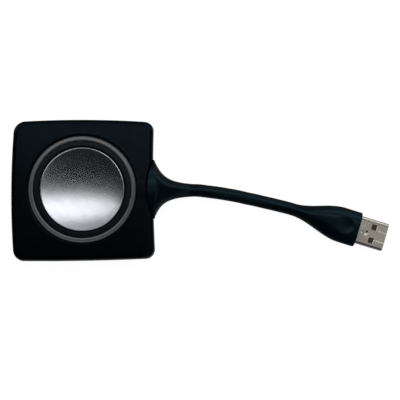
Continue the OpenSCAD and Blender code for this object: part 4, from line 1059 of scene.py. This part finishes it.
paper = bpy.data.materials.new("floor_paper")
paper.use_nodes = True
paper.node_tree.nodes.clear()
floor_mesh.materials.append(paper)
m = Nodes(paper.node_tree)
rays = m.add("ShaderNodeLightPath").outputs
mirrored = m.math("ADD", rays["Is Glossy Ray"], rays["Is Transmission Ray"])
strength = m.math("MAXIMUM", rays["Is Camera Ray"], m.math("MULTIPLY", mirrored, MIRRORED_SHARE))
glow = m.add("ShaderNodeEmission", {"Color": FLOOR_GLOW, "Strength": strength}).outputs[0]
matte = m.add("ShaderNodeBsdfDiffuse", {"Color": FLOOR_MATTE}).outputs[0]
both = m.add("ShaderNodeAddShader", {0: glow, 1: matte}).outputs[0]
clear = m.add("ShaderNodeBsdfTransparent").outputs[0]
beneath = m.add("ShaderNodeNewGeometry").outputs["Backfacing"]
sides = m.add("ShaderNodeMixShader", {0: beneath, 1: both, 2: clear}).outputs[0]
m.add("ShaderNodeOutputMaterial", {"Surface": sides})


# World: white to the camera, and broad soft domes of light for the object

SKY_TINT, SKY_BASE = (0.95, 1.0, 1.08, 1), 0.008
# Each dome as the axis it faces, the two directions between which it grows, and its strength
SKY_DOMES = [
    ("Y", 0.24, 0.38, 0.92), ("Y", 0.40, 0.80, -0.76), ("Z", 0.75, 0.35, 0.06),
    ("X", 0.13, 0.24, 0.21), ("X", 0.20, 0.32, 0.17), ("X", 0.45, 0.75, -0.35),
]

world = bpy.data.worlds.new("studio")
scene.world = world
world.use_nodes = True
world.node_tree.nodes.clear()
m = Nodes(world.node_tree)
generated = m.add("ShaderNodeTexCoord").outputs["Generated"]
toward = m.add("ShaderNodeSeparateXYZ", {0: generated}).outputs
level = SKY_BASE
for axis, near, far, gain in SKY_DOMES:
    dome = m.add("ShaderNodeMapRange", {"Value": toward[axis], "From Min": near, "From Max": far,
                                        "To Min": 0, "To Max": gain},
                 interpolation_type="SMOOTHSTEP")
    level = m.math("ADD", level, dome.outputs["Result"])
ambient = m.add("ShaderNodeBackground", {"Color": SKY_TINT, "Strength": level}).outputs[0]
white = m.add("ShaderNodeBackground", {"Color": (1, 1, 1, 1)}).outputs[0]
seen = m.add("ShaderNodeLightPath").outputs["Is Camera Ray"]
sky = m.add("ShaderNodeMixShader", {0: seen, 1: ambient, 2: white}).outputs[0]
m.add("ShaderNodeOutputWorld", {"Surface": sky})


# Lamps, in metres

def lamp(name, direction, distance, width, depth, radiance, shape="RECTANGLE", glossy=True):
    """A flat lamp that faces the part, with its brightness given as radiance."""
    data = bpy.data.lights.new(name, "AREA")
    data.shape, data.size, data.size_y = shape, width, depth
    area = width * depth * (math.pi / 4 if shape == "ELLIPSE" else 1)
    data.energy = radiance * math.pi * area
    made = bpy.data.objects.new(name, data)
    way = np.array(direction, float)
    way /= np.linalg.norm(way)
    made.location = tuple(way * distance)
    made.rotation_euler = (-math.asin(way[1]), math.atan2(way[0], way[2]), 0)
    made.visible_camera = False
    made.visible_glossy = glossy
    scene.collection.objects.link(made)


STRIP_UP, STRIP_SIDE = math.radians(8.9), math.radians(4.0)
lamp("strip", (math.sin(STRIP_SIDE), math.sin(STRIP_UP), math.cos(STRIP_UP)),
     distance=2.5, width=1.62, depth=0.315, radiance=1.65, shape="ELLIPSE")
lamp("fill_top", (0.1, 0.1, 1), distance=1.6, width=1.6, depth=1.6, radiance=1.78, glossy=False)
lamp("fill_front", (0.2, -1.0, 0.8), distance=1.8, width=1.4, depth=1.0, radiance=0.6,
     glossy=False)

scene.view_settings.view_transform = "Standard"
